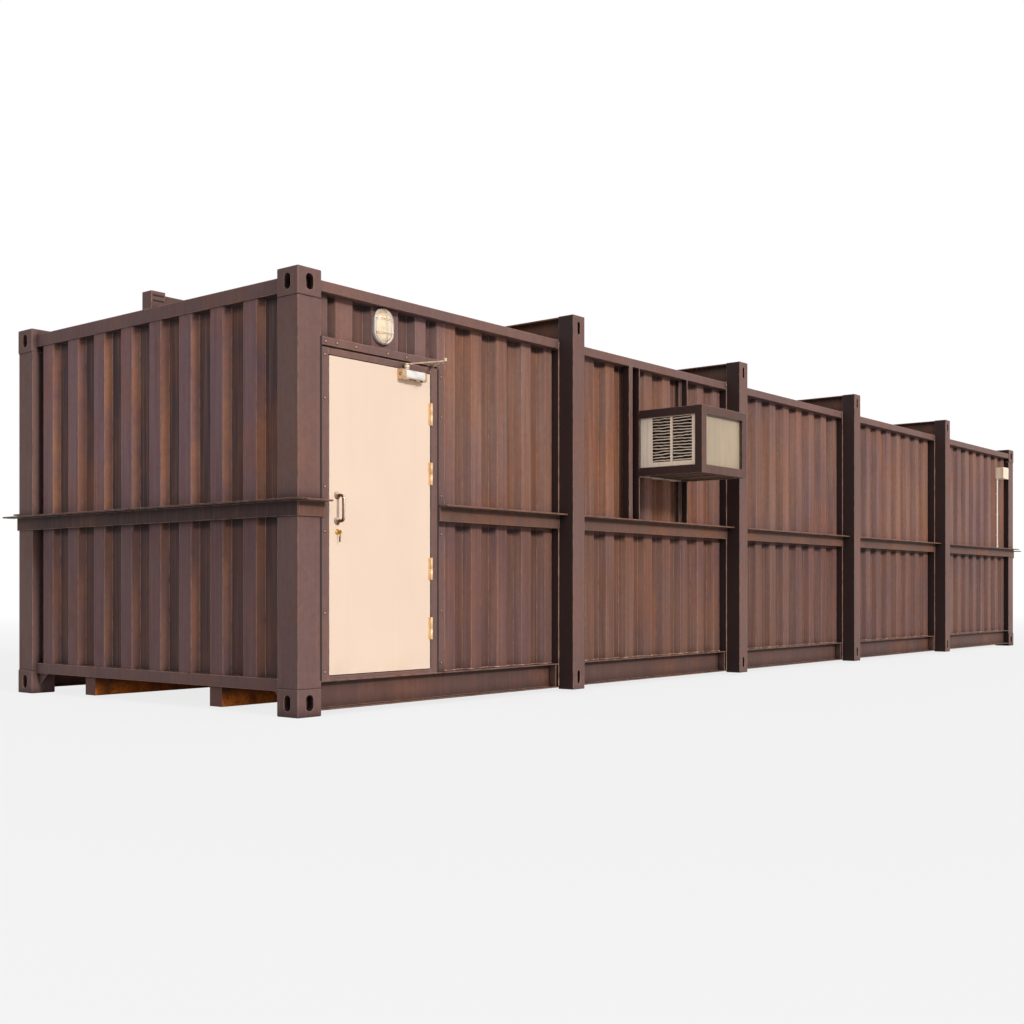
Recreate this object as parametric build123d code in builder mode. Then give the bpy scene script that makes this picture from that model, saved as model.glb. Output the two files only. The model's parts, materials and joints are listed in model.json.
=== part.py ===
"""Shipping container cabin on a welded steel frame, with one hinged door, a cooler box and roof beams.

Millimetres. +X runs along the cabin from its door end to its far end, the front long side faces -Y and
+Z is up. The origin is under the middle of the whole object's outline, at ground level.
"""

from build123d import *
import math
import os

# Sides and ends of the cabin, as directions along Y and X
front = -1
rear = 1
door_end = -1
far_end = 1
both_sides = (front, rear)
both_ends = (door_end, far_end)

# Overall container frame
cabin_length = 12192
cabin_width = 3048
cabin_height = 2591
frame_inset = 6

# Corner castings and their lifting slots
casting_x = 178
casting_y = 185
casting_z = 163
casting_round = 7
casting_slot_length = 95
casting_slot_width = 57
casting_slot_depth = 60
top_slot_length = 124
top_slot_width = 64
top_slot_depth = 30

# Rails of the container frame
side_rail_drop = 56
end_rail_drop = 41
rail_depth = 110
side_top_rail_height = 62
end_top_rail_height = 88
end_rail_inset = 37
floor_level = 215
end_bottom_rail_height = 72
side_bottom_rail_low = 32
side_bottom_rail_high = 205
channel_flange = 8
channel_web = 8
channel_web_inset = 72

# Frames that ring the cabin: stud in the wall, post outside it, beam over the roof
first_ring = 2478
second_ring = 4830
third_ring = 7110
fourth_ring = 9535
ring_post_width = 135
ring_post_reach = 125
ring_post_low = 22
ring_post_rise = 169
ring_slot_length = 93
ring_slot_width = 30
ring_slot_depth = 50
ring_slot_margin = 42
stud_width = 140
cross_beam_height = 165
cross_beam_flange = 9
cross_beam_web = 8
roof_beam_width = 90
roof_beam_height = 110
roof_block_length = 103
roof_block_width = 100
roof_block_height = 115

# Corrugated steel sheet
sheet_thickness = 4
side_sheet_inset = 70
side_pitch = 262
side_ridge = 100
side_slope = 50
side_sheet_depth = 36
end_sheet_inset = 46
end_pitch = 319.5
end_ridge = 122
end_slope = 40
end_sheet_depth = 38
end_first_ridge = 428
roof_pitch = 250
roof_ridge = 85
roof_slope = 40
roof_sheet_depth = 20
roof_sheet_thickness = 3

# Rails at mid height, angles with their flange on top
side_mid_rail_top = 1280
side_mid_rail_height = 104
end_mid_rail_top = 1257
end_mid_rail_height = 98
mid_rail_reach = 75
mid_rail_thickness = 10
rail_before_door = 200
rail_after_door = 1165

# Floor and inner lining
deck_thickness = 28
cross_member_width = 60
cross_member_count = 15
skid_offset = 690
skid_width = 120
skid_low = 18
skid_inset = 60
gusset_length = 100
gusset_thickness = 12
gusset_low = 60
lining_inset = 125
lining_thickness = 15
ceiling_drop = 43

# Doorway in the front side, measured from the door end
leaf_start = 241
leaf_width = 844
leaf_low = 234
wall_over_doorway = 379
leaf_thickness = 45
leaf_gap = 5
latch_gap = 7
jamb_end = 1157
head_height = 38
stop_reach = 12
header_plate_height = 60
header_end = 1172
groove_width = 12
groove_depth = 20
door_post_recess = 85
door_strip_width = 113

# Butt hinges of the door, two toward its bottom and two toward its top
outer_hinge_margin = 256
inner_hinge_margin = 635
hinge_length = 142
hinge_reach = 10
knuckle_radius = 8
pin_radius = 4
pin_clearance = 0.05
knuckle_gap = 0.4
hinge_plate_width = 20
hinge_plate_thickness = 3

# Pull handle and lock
handle_from_edge = 62
handle_low = 1130
handle_length = 175
handle_reach = 58
handle_radius = 8
handle_bend = 20
handle_rose_radius = 15
handle_rose_thickness = 6
lock_height = 1075
lock_radius = 16
lock_reach = 14
key_length = 34
key_width = 24
key_thickness = 3

# Door closer: body on the leaf, main arm, forearm, shoe on the frame header
closer_start = 795
closer_length = 210
closer_drop = 79
closer_height = 65
closer_reach = 52
closer_round = 6
spindle_from_start = 57
spindle_radius = 8
spindle_clearance = 0.1
collar_radius = 12
hub_radius = 15
arm_rise = 27
arm_thickness = 8
arm_width = 20
elbow_along = 925
elbow_out = 280
elbow_radius = 11
elbow_gap = 0.5
forearm_gap = 5
shoe_along = 1080
shoe_out = 22
shoe_pin_radius = 4
shoe_pin_clearance = 0.05
shoe_height = 46
shoe_width = 44
shoe_thickness = 4
tongue_width = 26
tongue_gap = 1

# Round-ended bulkhead light over the door
light_along = 720
light_rise = 148
light_width = 168
light_length = 224
light_base_depth = 26
light_glass_depth = 34
light_margin = 14
light_glass_round = 18

# Cooler box on the second bay
box_start = 3430
box_length = 670
box_reach = 572
box_height = 514
box_drop = 332
box_bar_width = 64
box_bar_thickness = 6
unit_side_recess = 20
unit_front_recess = 32
unit_side_gap = 2
hanger_width = 65
hanger_thickness = 10
right_hanger_start = 4085
right_plate_start = 4127
side_strip_start = 3293
side_strip_width = 47

# Junction box and conduit in the last bay
junction_from_far_end = 502
junction_width = 190
junction_height = 150
junction_drop = 289
junction_depth = 110
conduit_radius = 10
conduit_from_start = 20
conduit_in = 52
conduit_socket_radius = 14
conduit_socket_length = 40

# Places worked out from the sizes above
middle_y = (box_reach - ring_post_reach) / 2
rail_top = cabin_height - side_rail_drop
end_rail_top = cabin_height - end_rail_drop
wall_bottom = side_bottom_rail_high
wall_top = rail_top - side_top_rail_height
end_wall_top = end_rail_top - end_top_rail_height
ceiling_level = wall_top - ceiling_drop
ring_stations = (first_ring, second_ring, third_ring, fourth_ring)
ring_post_high = rail_top + ring_post_rise
header_high = cabin_height - wall_over_doorway
head_high = header_high - header_plate_height
head_low = head_high - head_height
leaf_high = head_low - leaf_gap
leaf_end = leaf_start + leaf_width
jamb_opening_start = leaf_start - latch_gap
jamb_opening_end = leaf_end + leaf_gap
sill_high = leaf_low - leaf_gap
door_sheet_start = header_end + door_strip_width
reveal_depth = lining_inset + lining_thickness
hinge_along = leaf_end + leaf_gap / 2
hinge_out = hinge_reach - frame_inset
hinge_heights = (leaf_low + outer_hinge_margin, leaf_low + inner_hinge_margin,
                 leaf_high - inner_hinge_margin, leaf_high - outer_hinge_margin)
closer_low = leaf_high - closer_drop
spindle_along = closer_start + spindle_from_start
spindle_out = closer_reach / 2 - frame_inset
arm_low = leaf_high + arm_rise
arm_high = arm_low + arm_thickness
forearm_low = arm_high + forearm_gap
forearm_high = forearm_low + arm_thickness
light_height = header_high + light_rise
box_high = wall_top - box_drop
box_low = box_high - box_height
box_end = box_start + box_length
left_hanger_end = box_start + hanger_width
unit_start = box_start + unit_side_recess
unit_end = box_end - box_bar_thickness - unit_side_gap
unit_low = box_low + box_bar_thickness
unit_high = box_high - box_bar_thickness - unit_side_gap
junction_start = cabin_length - junction_from_far_end
junction_low = wall_top - junction_drop


def along(distance):
    """X of a point at a distance along the cabin from its door end."""
    return distance - cabin_length / 2


def side_y(side, out):
    """Y of a point outward of the corner castings' plane on a long side."""
    return middle_y + side * (cabin_width / 2 + out)


def end_x(end, out):
    """X of a point outward of the corner castings' plane on an end."""
    return end * (cabin_length / 2 + out)


def slab(x_range, y_range, z_range, mode=Mode.ADD):
    """Box between two corners, in the builder that is open."""
    spans = (x_range, y_range, z_range)
    with Locations(tuple(sum(span) / 2 for span in spans)):
        Box(*(abs(span[1] - span[0]) for span in spans), mode=mode)


def save(piece, label):
    """Label a finished piece and write its file."""
    piece.part.label = label
    export_step(piece.part, f"parts/{label}.step")


def pocket(plane, length, width, depth):
    """Round-ended pocket along the plane's own X, cut into the face that the plane lies on."""
    with BuildSketch(plane) as mouth:
        SlotOverall(length, width)
    extrude(to_extrude=mouth.sketch, amount=-depth, mode=Mode.SUBTRACT)


def rod(start, end, radius, mode=Mode.ADD):
    """Round bar between two points, in the builder that is open."""
    path = Vector(*end) - Vector(*start)
    with BuildSketch(Plane(origin=start, z_dir=path)) as section:
        Circle(radius)
    extrude(to_extrude=section.sketch, amount=path.length, mode=mode)


def wave(start, end, first_ridge, pitch, ridge, slope, depth):
    """Points (place, inset) of a corrugated line: ridges are at inset 0, valleys at the depth."""

    def inset(place):
        offset = (place - first_ridge) % pitch
        if offset <= ridge:
            return 0
        return depth * min(1, (offset - ridge) / slope, (pitch - offset) / slope)

    breaks = {start, end}
    first = math.floor((start - first_ridge) / pitch)
    last = math.ceil((end - first_ridge) / pitch)
    for count in range(first, last + 1):
        ridge_start = first_ridge + count * pitch
        ridge_end = ridge_start + ridge
        breaks.update((ridge_start - slope, ridge_start, ridge_end, ridge_end + slope))
    places = sorted(place for place in breaks if start <= place <= end)
    return [(place, inset(place)) for place in places]


def sheet(points, thickness_step, low, high):
    """Corrugated sheet between two levels, from its outer points and the step to its inner face."""
    step_x, step_y = thickness_step
    inner = [(x + step_x, y + step_y) for x, y in reversed(points)]
    with BuildPart() as panel:
        with BuildSketch(Plane.XY.offset(low)):
            with BuildLine():
                Polyline(*points, *inner, close=True)
            make_face()
        extrude(amount=high - low)
    return panel.part


def side_sheet(side, start, end, first_ridge, low, high):
    """Corrugated sheet of a long side, between two distances from the door end."""
    line = wave(start, end, first_ridge, side_pitch, side_ridge, side_slope, side_sheet_depth)
    points = [(along(place), side_y(side, -side_sheet_inset - inset)) for place, inset in line]
    return sheet(points, (0, -side * sheet_thickness), low, high)


def end_sheet(end):
    """Corrugated sheet of an end, between the corner posts."""
    line = wave(casting_y, cabin_width - casting_y, end_first_ridge, end_pitch, end_ridge,
                end_slope, end_sheet_depth)
    points = [(end_x(end, -end_sheet_inset - inset), side_y(front, -place)) for place, inset in line]
    return sheet(points, (-end * sheet_thickness, 0), floor_level, end_wall_top)


os.makedirs("parts", exist_ok=True)

# Bays between the studs, as distances from the door end
stud_edges = [(station - stud_width / 2, station + stud_width / 2) for station in ring_stations]
bay_starts = [casting_x] + [edges[1] for edges in stud_edges]
bay_ends = [edges[0] for edges in stud_edges] + [cabin_length - casting_x]
bays = list(zip(bay_starts, bay_ends))
post_edges = [(station - ring_post_width / 2, station + ring_post_width / 2)
              for station in ring_stations]


# ---- Container frame ----

def casting(end, side, low):
    """Corner casting with a lifting slot in each of its two outer faces."""
    x_middle = end_x(end, -casting_x / 2)
    y_middle = side_y(side, -casting_y / 2)
    z_middle = low + casting_z / 2
    with BuildPart() as block:
        with Locations((x_middle, y_middle, z_middle)):
            Box(casting_x, casting_y, casting_z)
        fillet(block.edges(), casting_round)
        end_face = Plane(origin=(end_x(end, 0), y_middle, z_middle), x_dir=(0, 0, 1), z_dir=(end, 0, 0))
        side_face = Plane(origin=(x_middle, side_y(side, 0), z_middle), x_dir=(0, 0, 1),
                          z_dir=(0, side, 0))
        pocket(end_face, casting_slot_length, casting_slot_width, casting_slot_depth)
        pocket(side_face, casting_slot_length, casting_slot_width, casting_slot_depth)
    return block.part


with BuildPart() as bottom_castings:
    for end in both_ends:
        for side in both_sides:
            add(casting(end, side, 0))
save(bottom_castings, "bottom_corner_castings")

with BuildPart() as top_castings:
    for end in both_ends:
        for side in both_sides:
            add(casting(end, side, cabin_height - casting_z))
            top_middle = (end_x(end, -casting_x / 2), side_y(side, -casting_y / 2), cabin_height)
            pocket(Plane(origin=top_middle), top_slot_length, top_slot_width, top_slot_depth)
save(top_castings, "top_corner_castings")

with BuildPart() as corner_posts:
    for end in both_ends:
        for side in both_sides:
            slab((end_x(end, -frame_inset), end_x(end, -casting_x)),
                 (side_y(side, -frame_inset), side_y(side, -casting_y)),
                 (casting_z, cabin_height - casting_z))
save(corner_posts, "corner_posts")

between_posts = (side_y(front, -casting_y), side_y(rear, -casting_y))

with BuildPart() as top_end_rails:
    for end in both_ends:
        slab((end_x(end, -end_rail_inset), end_x(end, -casting_x)), between_posts,
             (end_wall_top, end_rail_top))
save(top_end_rails, "top_end_rails")

with BuildPart() as bottom_end_rails:
    for end in both_ends:
        slab((end_x(end, -end_rail_inset), end_x(end, -casting_x)), between_posts,
             (floor_level - end_bottom_rail_height, floor_level))
save(bottom_end_rails, "bottom_end_rails")

with BuildPart() as top_rails:
    for side in both_sides:
        for start, end in bays:
            slab((along(start), along(end)), (side_y(side, -frame_inset), side_y(side, -rail_depth)),
                 (wall_top, rail_top))
save(top_rails, "side_top_rails")

with BuildPart() as bottom_rails:
    for side in both_sides:
        rail_span = (side_y(side, -frame_inset), side_y(side, -rail_depth))
        web_span = (side_y(side, -channel_web_inset), side_y(side, -channel_web_inset - channel_web))
        for start, end in bays:
            bay_span = (along(start), along(end))
            slab(bay_span, web_span, (side_bottom_rail_low, side_bottom_rail_high))
            slab(bay_span, rail_span, (side_bottom_rail_low, side_bottom_rail_low + channel_flange))
            slab(bay_span, rail_span, (side_bottom_rail_high - channel_flange, side_bottom_rail_high))
save(bottom_rails, "side_bottom_rails")

# ---- Ring frames and roof beams ----

with BuildPart() as studs:
    for side in both_sides:
        for start, end in stud_edges:
            slab((along(start), along(end)), (side_y(side, -frame_inset), side_y(side, -rail_depth)),
                 (side_bottom_rail_low, rail_top))
save(studs, "frame_studs")

with BuildPart() as posts:
    for side in both_sides:
        for station, (start, end) in zip(ring_stations, post_edges):
            slab((along(start), along(end)), (side_y(side, -frame_inset), side_y(side, ring_post_reach)),
                 (ring_post_low, ring_post_high))
            for middle in (ring_post_low + ring_slot_margin + ring_slot_length / 2,
                           ring_post_high - ring_slot_margin - ring_slot_length / 2):
                face = Plane(origin=(along(station), side_y(side, ring_post_reach), middle),
                             x_dir=(0, 0, 1), z_dir=(0, side, 0))
                pocket(face, ring_slot_length, ring_slot_width, ring_slot_depth)
save(posts, "frame_posts")

beam_span = (side_y(front, -frame_inset), side_y(rear, -frame_inset))
beam_top = rail_top + cross_beam_height
with BuildPart() as cross_beams:
    for station, (start, end) in zip(ring_stations, post_edges):
        slab((along(start), along(end)), beam_span, (rail_top, rail_top + cross_beam_flange))
        slab((along(start), along(end)), beam_span, (beam_top - cross_beam_flange, beam_top))
        slab((along(station - cross_beam_web / 2), along(station + cross_beam_web / 2)), beam_span,
             (rail_top, beam_top))
save(cross_beams, "roof_cross_beams")

with BuildPart() as roof_blocks:
    for end in both_ends:
        slab((end_x(end, -end_rail_inset), end_x(end, -end_rail_inset - roof_block_length)),
             (middle_y - roof_block_width / 2, middle_y + roof_block_width / 2),
             (end_rail_top, end_rail_top + roof_block_height))
save(roof_blocks, "roof_beam_end_blocks")

centre_starts = [casting_x] + [edges[1] for edges in post_edges]
centre_ends = [edges[0] for edges in post_edges] + [cabin_length - casting_x]
centre_width = (middle_y - roof_beam_width / 2, middle_y + roof_beam_width / 2)
centre_top = rail_top + roof_beam_height
with BuildPart() as roof_beam:
    for start, end in zip(centre_starts, centre_ends):
        slab((along(start), along(end)), centre_width, (rail_top, centre_top))
    for end in both_ends:
        slab((end_x(end, -end_rail_inset - roof_block_length), end_x(end, -casting_x)), centre_width,
             (end_rail_top, centre_top))
save(roof_beam, "roof_centre_beam")

# ---- Walls and roof ----


def first_bay_ridge(start, end):
    """Place of the first whole ridge, so that the valleys sit evenly in a bay."""
    count = math.floor((end - start) / side_pitch)
    margin = (end - start - count * side_pitch) / 2
    return start + margin - side_ridge / 2


through_x = (along(left_hanger_end), along(right_hanger_start))
unit_z = (unit_low, unit_high)

with BuildPart() as over_door_wall:
    add(side_sheet(front, casting_x, door_sheet_start, door_sheet_start, header_high, wall_top))
save(over_door_wall, "front_wall_over_door")

with BuildPart() as front_wall:
    add(side_sheet(front, door_sheet_start, bays[0][1], door_sheet_start, wall_bottom, wall_top))
    for start, end in bays[1:]:
        add(side_sheet(front, start, end, first_bay_ridge(start, end), wall_bottom, wall_top))
    slab(through_x, (side_y(front, 0), side_y(front, -rail_depth)), unit_z, Mode.SUBTRACT)
save(front_wall, "front_wall_bays")

with BuildPart() as rear_wall:
    for start, end in bays:
        add(side_sheet(rear, start, end, first_bay_ridge(start, end), wall_bottom, wall_top))
save(rear_wall, "rear_wall_bays")

for end, end_name in ((door_end, "door_end"), (far_end, "far_end")):
    with BuildPart() as end_wall:
        add(end_sheet(end))
    save(end_wall, f"{end_name}_wall")

roof_line = wave(casting_x, cabin_length - casting_x, casting_x + roof_pitch / 2, roof_pitch, roof_ridge,
                 roof_slope, roof_sheet_depth)
with BuildPart() as roof_sheet:
    with BuildSketch(Plane.XZ.offset(-side_y(rear, -rail_depth))):
        with BuildLine():
            upper = [(along(place), rail_top - inset) for place, inset in roof_line]
            lower = [(x, z - roof_sheet_thickness) for x, z in reversed(upper)]
            Polyline(*upper, *lower, close=True)
        make_face()
    extrude(amount=cabin_width - 2 * rail_depth)
save(roof_sheet, "roof_sheet")

# ---- Mid-height rails ----


def mid_rail(x_range, back_range, side):
    """Angle outside one bay, with its flange carried back to the wall between the posts."""
    flange = (side_mid_rail_top - mid_rail_thickness, side_mid_rail_top)
    slab(x_range, (side_y(side, -frame_inset), side_y(side, -frame_inset + mid_rail_thickness)),
         (side_mid_rail_top - side_mid_rail_height, flange[0]))
    slab(x_range, (side_y(side, -frame_inset), side_y(side, mid_rail_reach)), flange)
    slab(back_range, (side_y(side, -side_sheet_inset), side_y(side, -frame_inset)), flange)


rail_starts = [frame_inset] + [edges[1] for edges in post_edges]
rail_ends = [edges[0] for edges in post_edges] + [cabin_length - frame_inset]
rail_spans = [(along(start), along(end)) for start, end in zip(rail_starts, rail_ends)]
back_spans = [(along(start), along(end)) for start, end in bays]

end_leg = (end_mid_rail_top - end_mid_rail_height, end_mid_rail_top - mid_rail_thickness)
end_flange = (end_leg[1], end_mid_rail_top)

with BuildPart() as front_mid_rails:
    slab((along(frame_inset), along(rail_before_door)),
         (side_y(front, -frame_inset), side_y(front, -frame_inset + mid_rail_thickness)), end_leg)
    slab((along(frame_inset), along(rail_before_door)),
         (side_y(front, -frame_inset), side_y(front, mid_rail_reach)), end_flange)
    mid_rail((along(rail_after_door), rail_spans[0][1]), (along(header_end), back_spans[0][1]), front)
    for rail_span, back_span in zip(rail_spans[1:], back_spans[1:]):
        mid_rail(rail_span, back_span, front)
save(front_mid_rails, "front_mid_rails")

with BuildPart() as rear_mid_rails:
    for rail_span, back_span in zip(rail_spans, back_spans):
        mid_rail(rail_span, back_span, rear)
save(rear_mid_rails, "rear_mid_rails")

with BuildPart() as end_mid_rails:
    for end in both_ends:
        leg_out = -frame_inset + mid_rail_thickness
        slab((end_x(end, -frame_inset), end_x(end, leg_out)), (side_y(front, leg_out), side_y(rear, leg_out)),
             end_leg)
        slab((end_x(end, -frame_inset), end_x(end, mid_rail_reach)),
             (side_y(front, mid_rail_reach), side_y(rear, mid_rail_reach)), end_flange)
        slab((end_x(end, -end_sheet_inset), end_x(end, -frame_inset)), between_posts, end_flange)
save(end_mid_rails, "end_mid_rails")

# ---- Floor ----

skid_high = floor_level - end_bottom_rail_height
with BuildPart() as skids:
    for side in both_sides:
        slab((end_x(door_end, -skid_inset), end_x(far_end, -skid_inset)),
             (middle_y + side * skid_offset - skid_width / 2, middle_y + side * skid_offset + skid_width / 2),
             (skid_low, skid_high))
save(skids, "skid_beams")

clear_length = cabin_length - 2 * casting_x
web_inner = channel_web_inset + channel_web
with BuildPart() as cross_members:
    for count in range(cross_member_count):
        middle = casting_x + clear_length * (count + 0.5) / cross_member_count
        slab((along(middle - cross_member_width / 2), along(middle + cross_member_width / 2)),
             (side_y(front, -web_inner), side_y(rear, -web_inner)), (skid_high, floor_level - deck_thickness))
save(cross_members, "floor_cross_members")

with BuildPart() as deck:
    slab((end_x(door_end, -casting_x), end_x(far_end, -casting_x)),
         (side_y(front, -rail_depth), side_y(rear, -rail_depth)), (floor_level - deck_thickness, floor_level))
save(deck, "floor_deck")

with BuildPart() as gussets:
    for end in both_ends:
        for side in both_sides:
            inner = side_y(side, -casting_y)
            tip = side_y(side, -casting_y - gusset_length)
            with BuildSketch(Plane.YZ.offset(end_x(end, -skid_inset))):
                with BuildLine():
                    Polyline((inner, gusset_low), (inner, skid_high), (tip, skid_high), close=True)
                make_face()
            extrude(amount=-end * gusset_thickness)
save(gussets, "corner_gussets")

# ---- Inner lining ----

inner_front = (side_y(front, -lining_inset), side_y(front, -reveal_depth))
inner_rear = (side_y(rear, -lining_inset), side_y(rear, -reveal_depth))
lining_span = (end_x(door_end, -casting_x), end_x(far_end, -casting_x))

with BuildPart() as front_lining:
    slab((along(jamb_end), lining_span[1]), inner_front, (floor_level, ceiling_level))
    slab(through_x, inner_front, unit_z, Mode.SUBTRACT)
save(front_lining, "front_lining")

with BuildPart() as over_door_lining:
    slab((lining_span[0], along(jamb_end)), inner_front, (head_high, ceiling_level))
save(over_door_lining, "front_lining_over_door")

with BuildPart() as rear_lining:
    slab(lining_span, inner_rear, (floor_level, ceiling_level))
save(rear_lining, "rear_lining")

with BuildPart() as end_linings:
    for end in both_ends:
        slab((end_x(end, -casting_x), end_x(end, -casting_x - lining_thickness)),
             (inner_front[1], inner_rear[1]), (floor_level, ceiling_level))
save(end_linings, "end_linings")

with BuildPart() as ceiling:
    slab(lining_span, (inner_front[0], inner_rear[0]), (ceiling_level, ceiling_level + lining_thickness))
save(ceiling, "ceiling_panel")

# ---- Doorway ----

face_y = side_y(front, -frame_inset)
wall_depth = (face_y, side_y(front, -rail_depth))
inner_depth = (side_y(front, -rail_depth), side_y(front, -reveal_depth))
stop_depth = (side_y(front, -frame_inset - leaf_thickness - leaf_gap), side_y(front, -reveal_depth))
opening_x = (along(jamb_opening_start), along(jamb_opening_end))

with BuildPart() as jambs:
    for outer, inner, reach in ((along(casting_x), opening_x[0], stop_reach),
                                (along(jamb_end), opening_x[1], -stop_reach)):
        slab((outer, inner), wall_depth, (wall_bottom, head_high))
        slab((outer, inner), inner_depth, (floor_level, head_high))
        slab((inner, inner + reach), stop_depth, (sill_high, head_low))
save(jambs, "door_jambs")

with BuildPart() as head:
    slab(opening_x, (face_y, side_y(front, -reveal_depth)), (head_low, head_high))
    slab((opening_x[0] + stop_reach, opening_x[1] - stop_reach), stop_depth,
         (head_low - stop_reach, head_low))
save(head, "door_head")

with BuildPart() as sill:
    slab(opening_x, wall_depth, (wall_bottom, sill_high))
    slab(opening_x, inner_depth, (floor_level, sill_high))
save(sill, "door_sill")

with BuildPart() as header:
    header_x = (along(casting_x), along(header_end))
    slab(header_x, wall_depth, (head_high, header_high))
    slab(header_x, (face_y, side_y(front, -frame_inset - groove_depth)),
         (head_high, head_high + groove_width), Mode.SUBTRACT)
save(header, "door_header_plate")

with BuildPart() as door_post:
    slab((along(jamb_end), along(header_end)), (side_y(front, -door_post_recess), wall_depth[1]),
         (wall_bottom, head_high))
    slab((along(header_end), along(door_sheet_start)), (side_y(front, -side_sheet_inset), wall_depth[1]),
         (wall_bottom, header_high))
save(door_post, "door_post")

with BuildPart() as leaf:
    slab((along(leaf_start), along(leaf_end)), (face_y, side_y(front, -frame_inset - leaf_thickness)),
         (leaf_low, leaf_high))
save(leaf, "door_leaf")

# ---- Door hinges, each with its lower half on the jamb and its upper half on the leaf ----

hinge_x = along(hinge_along)
hinge_y = side_y(front, hinge_out)
plate_depth = (face_y, side_y(front, -frame_inset + hinge_plate_thickness))


def hinge_half(toward, height, low, high):
    """Plate beside the pin, with a tab to the knuckle between two levels."""
    plate_start = hinge_x + toward * (knuckle_radius + knuckle_gap)
    slab((plate_start, plate_start + toward * hinge_plate_width), plate_depth,
         (height - hinge_length / 2, height + hinge_length / 2))
    slab((hinge_x, plate_start), plate_depth, (low, high))
    rod((hinge_x, hinge_y, low), (hinge_x, hinge_y, high), knuckle_radius)


with BuildPart() as frame_hinges:
    for height in hinge_heights:
        split = height - knuckle_gap / 2
        hinge_half(1, height, height - hinge_length / 2, split)
        rod((hinge_x, hinge_y, split), (hinge_x, hinge_y, height + hinge_length / 2), pin_radius)
save(frame_hinges, "hinge_frame_halves")

with BuildPart() as leaf_hinges:
    for height in hinge_heights:
        split = height + knuckle_gap / 2
        hinge_half(-1, height, split, height + hinge_length / 2)
        rod((hinge_x, hinge_y, split), (hinge_x, hinge_y, height + hinge_length / 2),
            pin_radius + pin_clearance, Mode.SUBTRACT)
save(leaf_hinges, "hinge_leaf_halves")

# ---- Handle and lock ----

handle_x = along(leaf_start + handle_from_edge)
grip_y = side_y(front, handle_reach - frame_inset - handle_radius)
handle_high = handle_low + handle_length

with BuildPart() as handle:
    with BuildLine() as grip:
        FilletPolyline((handle_x, face_y, handle_low), (handle_x, grip_y, handle_low),
                       (handle_x, grip_y, handle_high), (handle_x, face_y, handle_high), radius=handle_bend)
    with BuildSketch(Plane(origin=grip.line @ 0, z_dir=grip.line % 0)):
        Circle(handle_radius)
    sweep()
    for height in (handle_low, handle_high):
        rod((handle_x, face_y, height), (handle_x, face_y - handle_rose_thickness, height),
            handle_rose_radius)
save(handle, "pull_handle")

with BuildPart() as lock:
    rod((handle_x, face_y, lock_height), (handle_x, face_y - lock_reach, lock_height), lock_radius)
save(lock, "door_lock")

with BuildPart() as key:
    key_y = face_y - lock_reach
    slab((handle_x - key_thickness / 2, handle_x + key_thickness / 2), (key_y, key_y - key_length),
         (lock_height - key_width / 2, lock_height + key_width / 2))
save(key, "door_key")

# ---- Door closer ----

spindle = (along(spindle_along), side_y(front, spindle_out))
elbow = (along(elbow_along), side_y(front, elbow_out))
shoe_pin = (along(shoe_along), side_y(front, shoe_out))
closer_high = closer_low + closer_height


def flat_bar(start, end, low):
    """Flat bar between two upright pivots, with round ends, in the builder that is open."""
    middle = ((start[0] + end[0]) / 2, (start[1] + end[1]) / 2, low)
    toward = (end[0] - start[0], end[1] - start[1], 0)
    with BuildSketch(Plane(origin=middle, x_dir=toward, z_dir=(0, 0, 1))) as outline:
        SlotCenterToCenter(math.dist(start, end), arm_width)
    extrude(to_extrude=outline.sketch, amount=arm_thickness)


with BuildPart() as closer_body:
    slab((along(closer_start), along(closer_start + closer_length)),
         (face_y, side_y(front, closer_reach - frame_inset)), (closer_low, closer_high))
    fillet(closer_body.edges().filter_by(Axis.X).group_by(Axis.Y)[0], closer_round)
    rod((*spindle, closer_high), (*spindle, arm_low - elbow_gap), collar_radius)
    rod((*spindle, arm_low - elbow_gap), (*spindle, arm_high), spindle_radius)
save(closer_body, "closer_body")

with BuildPart() as closer_arm:
    flat_bar(spindle, elbow, arm_low)
    rod((*spindle, arm_low), (*spindle, arm_high), hub_radius)
    rod((*spindle, arm_low), (*spindle, arm_high), spindle_radius + spindle_clearance, Mode.SUBTRACT)
    rod((*elbow, arm_low), (*elbow, forearm_low - elbow_gap), elbow_radius)
save(closer_arm, "closer_arm")

with BuildPart() as forearm:
    flat_bar(shoe_pin, elbow, forearm_low)
    for pivot in (shoe_pin, elbow):
        rod((*pivot, forearm_low), (*pivot, forearm_high), elbow_radius)
    rod((*shoe_pin, forearm_low), (*shoe_pin, forearm_high), shoe_pin_radius + shoe_pin_clearance,
        Mode.SUBTRACT)
save(forearm, "closer_forearm")

with BuildPart() as shoe:
    tongue_low = forearm_high + tongue_gap
    slab((shoe_pin[0] - shoe_width / 2, shoe_pin[0] + shoe_width / 2),
         (face_y, face_y - shoe_thickness), (tongue_low, tongue_low + shoe_height))
    slab((shoe_pin[0] - tongue_width / 2, shoe_pin[0] + tongue_width / 2),
         (face_y, shoe_pin[1] - tongue_width / 2), (tongue_low, tongue_low + shoe_thickness))
    rod((*shoe_pin, forearm_low - tongue_gap), (*shoe_pin, tongue_low), shoe_pin_radius)
save(shoe, "closer_shoe")

# ---- Bulkhead light ----


def oval(out, shrink):
    """Upright round-ended outline of the light, on a plane at a distance outward of the castings."""
    face = Plane(origin=(along(light_along), side_y(front, out), light_height), x_dir=(0, 0, 1),
                 z_dir=(0, front, 0))
    with BuildSketch(face) as outline:
        SlotOverall(light_length - 2 * shrink, light_width - 2 * shrink)
    return outline.sketch


glass_out = light_base_depth - side_sheet_inset
with BuildPart() as light_base:
    extrude(to_extrude=oval(-side_sheet_inset, 0), amount=light_base_depth)
save(light_base, "light_base")

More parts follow.
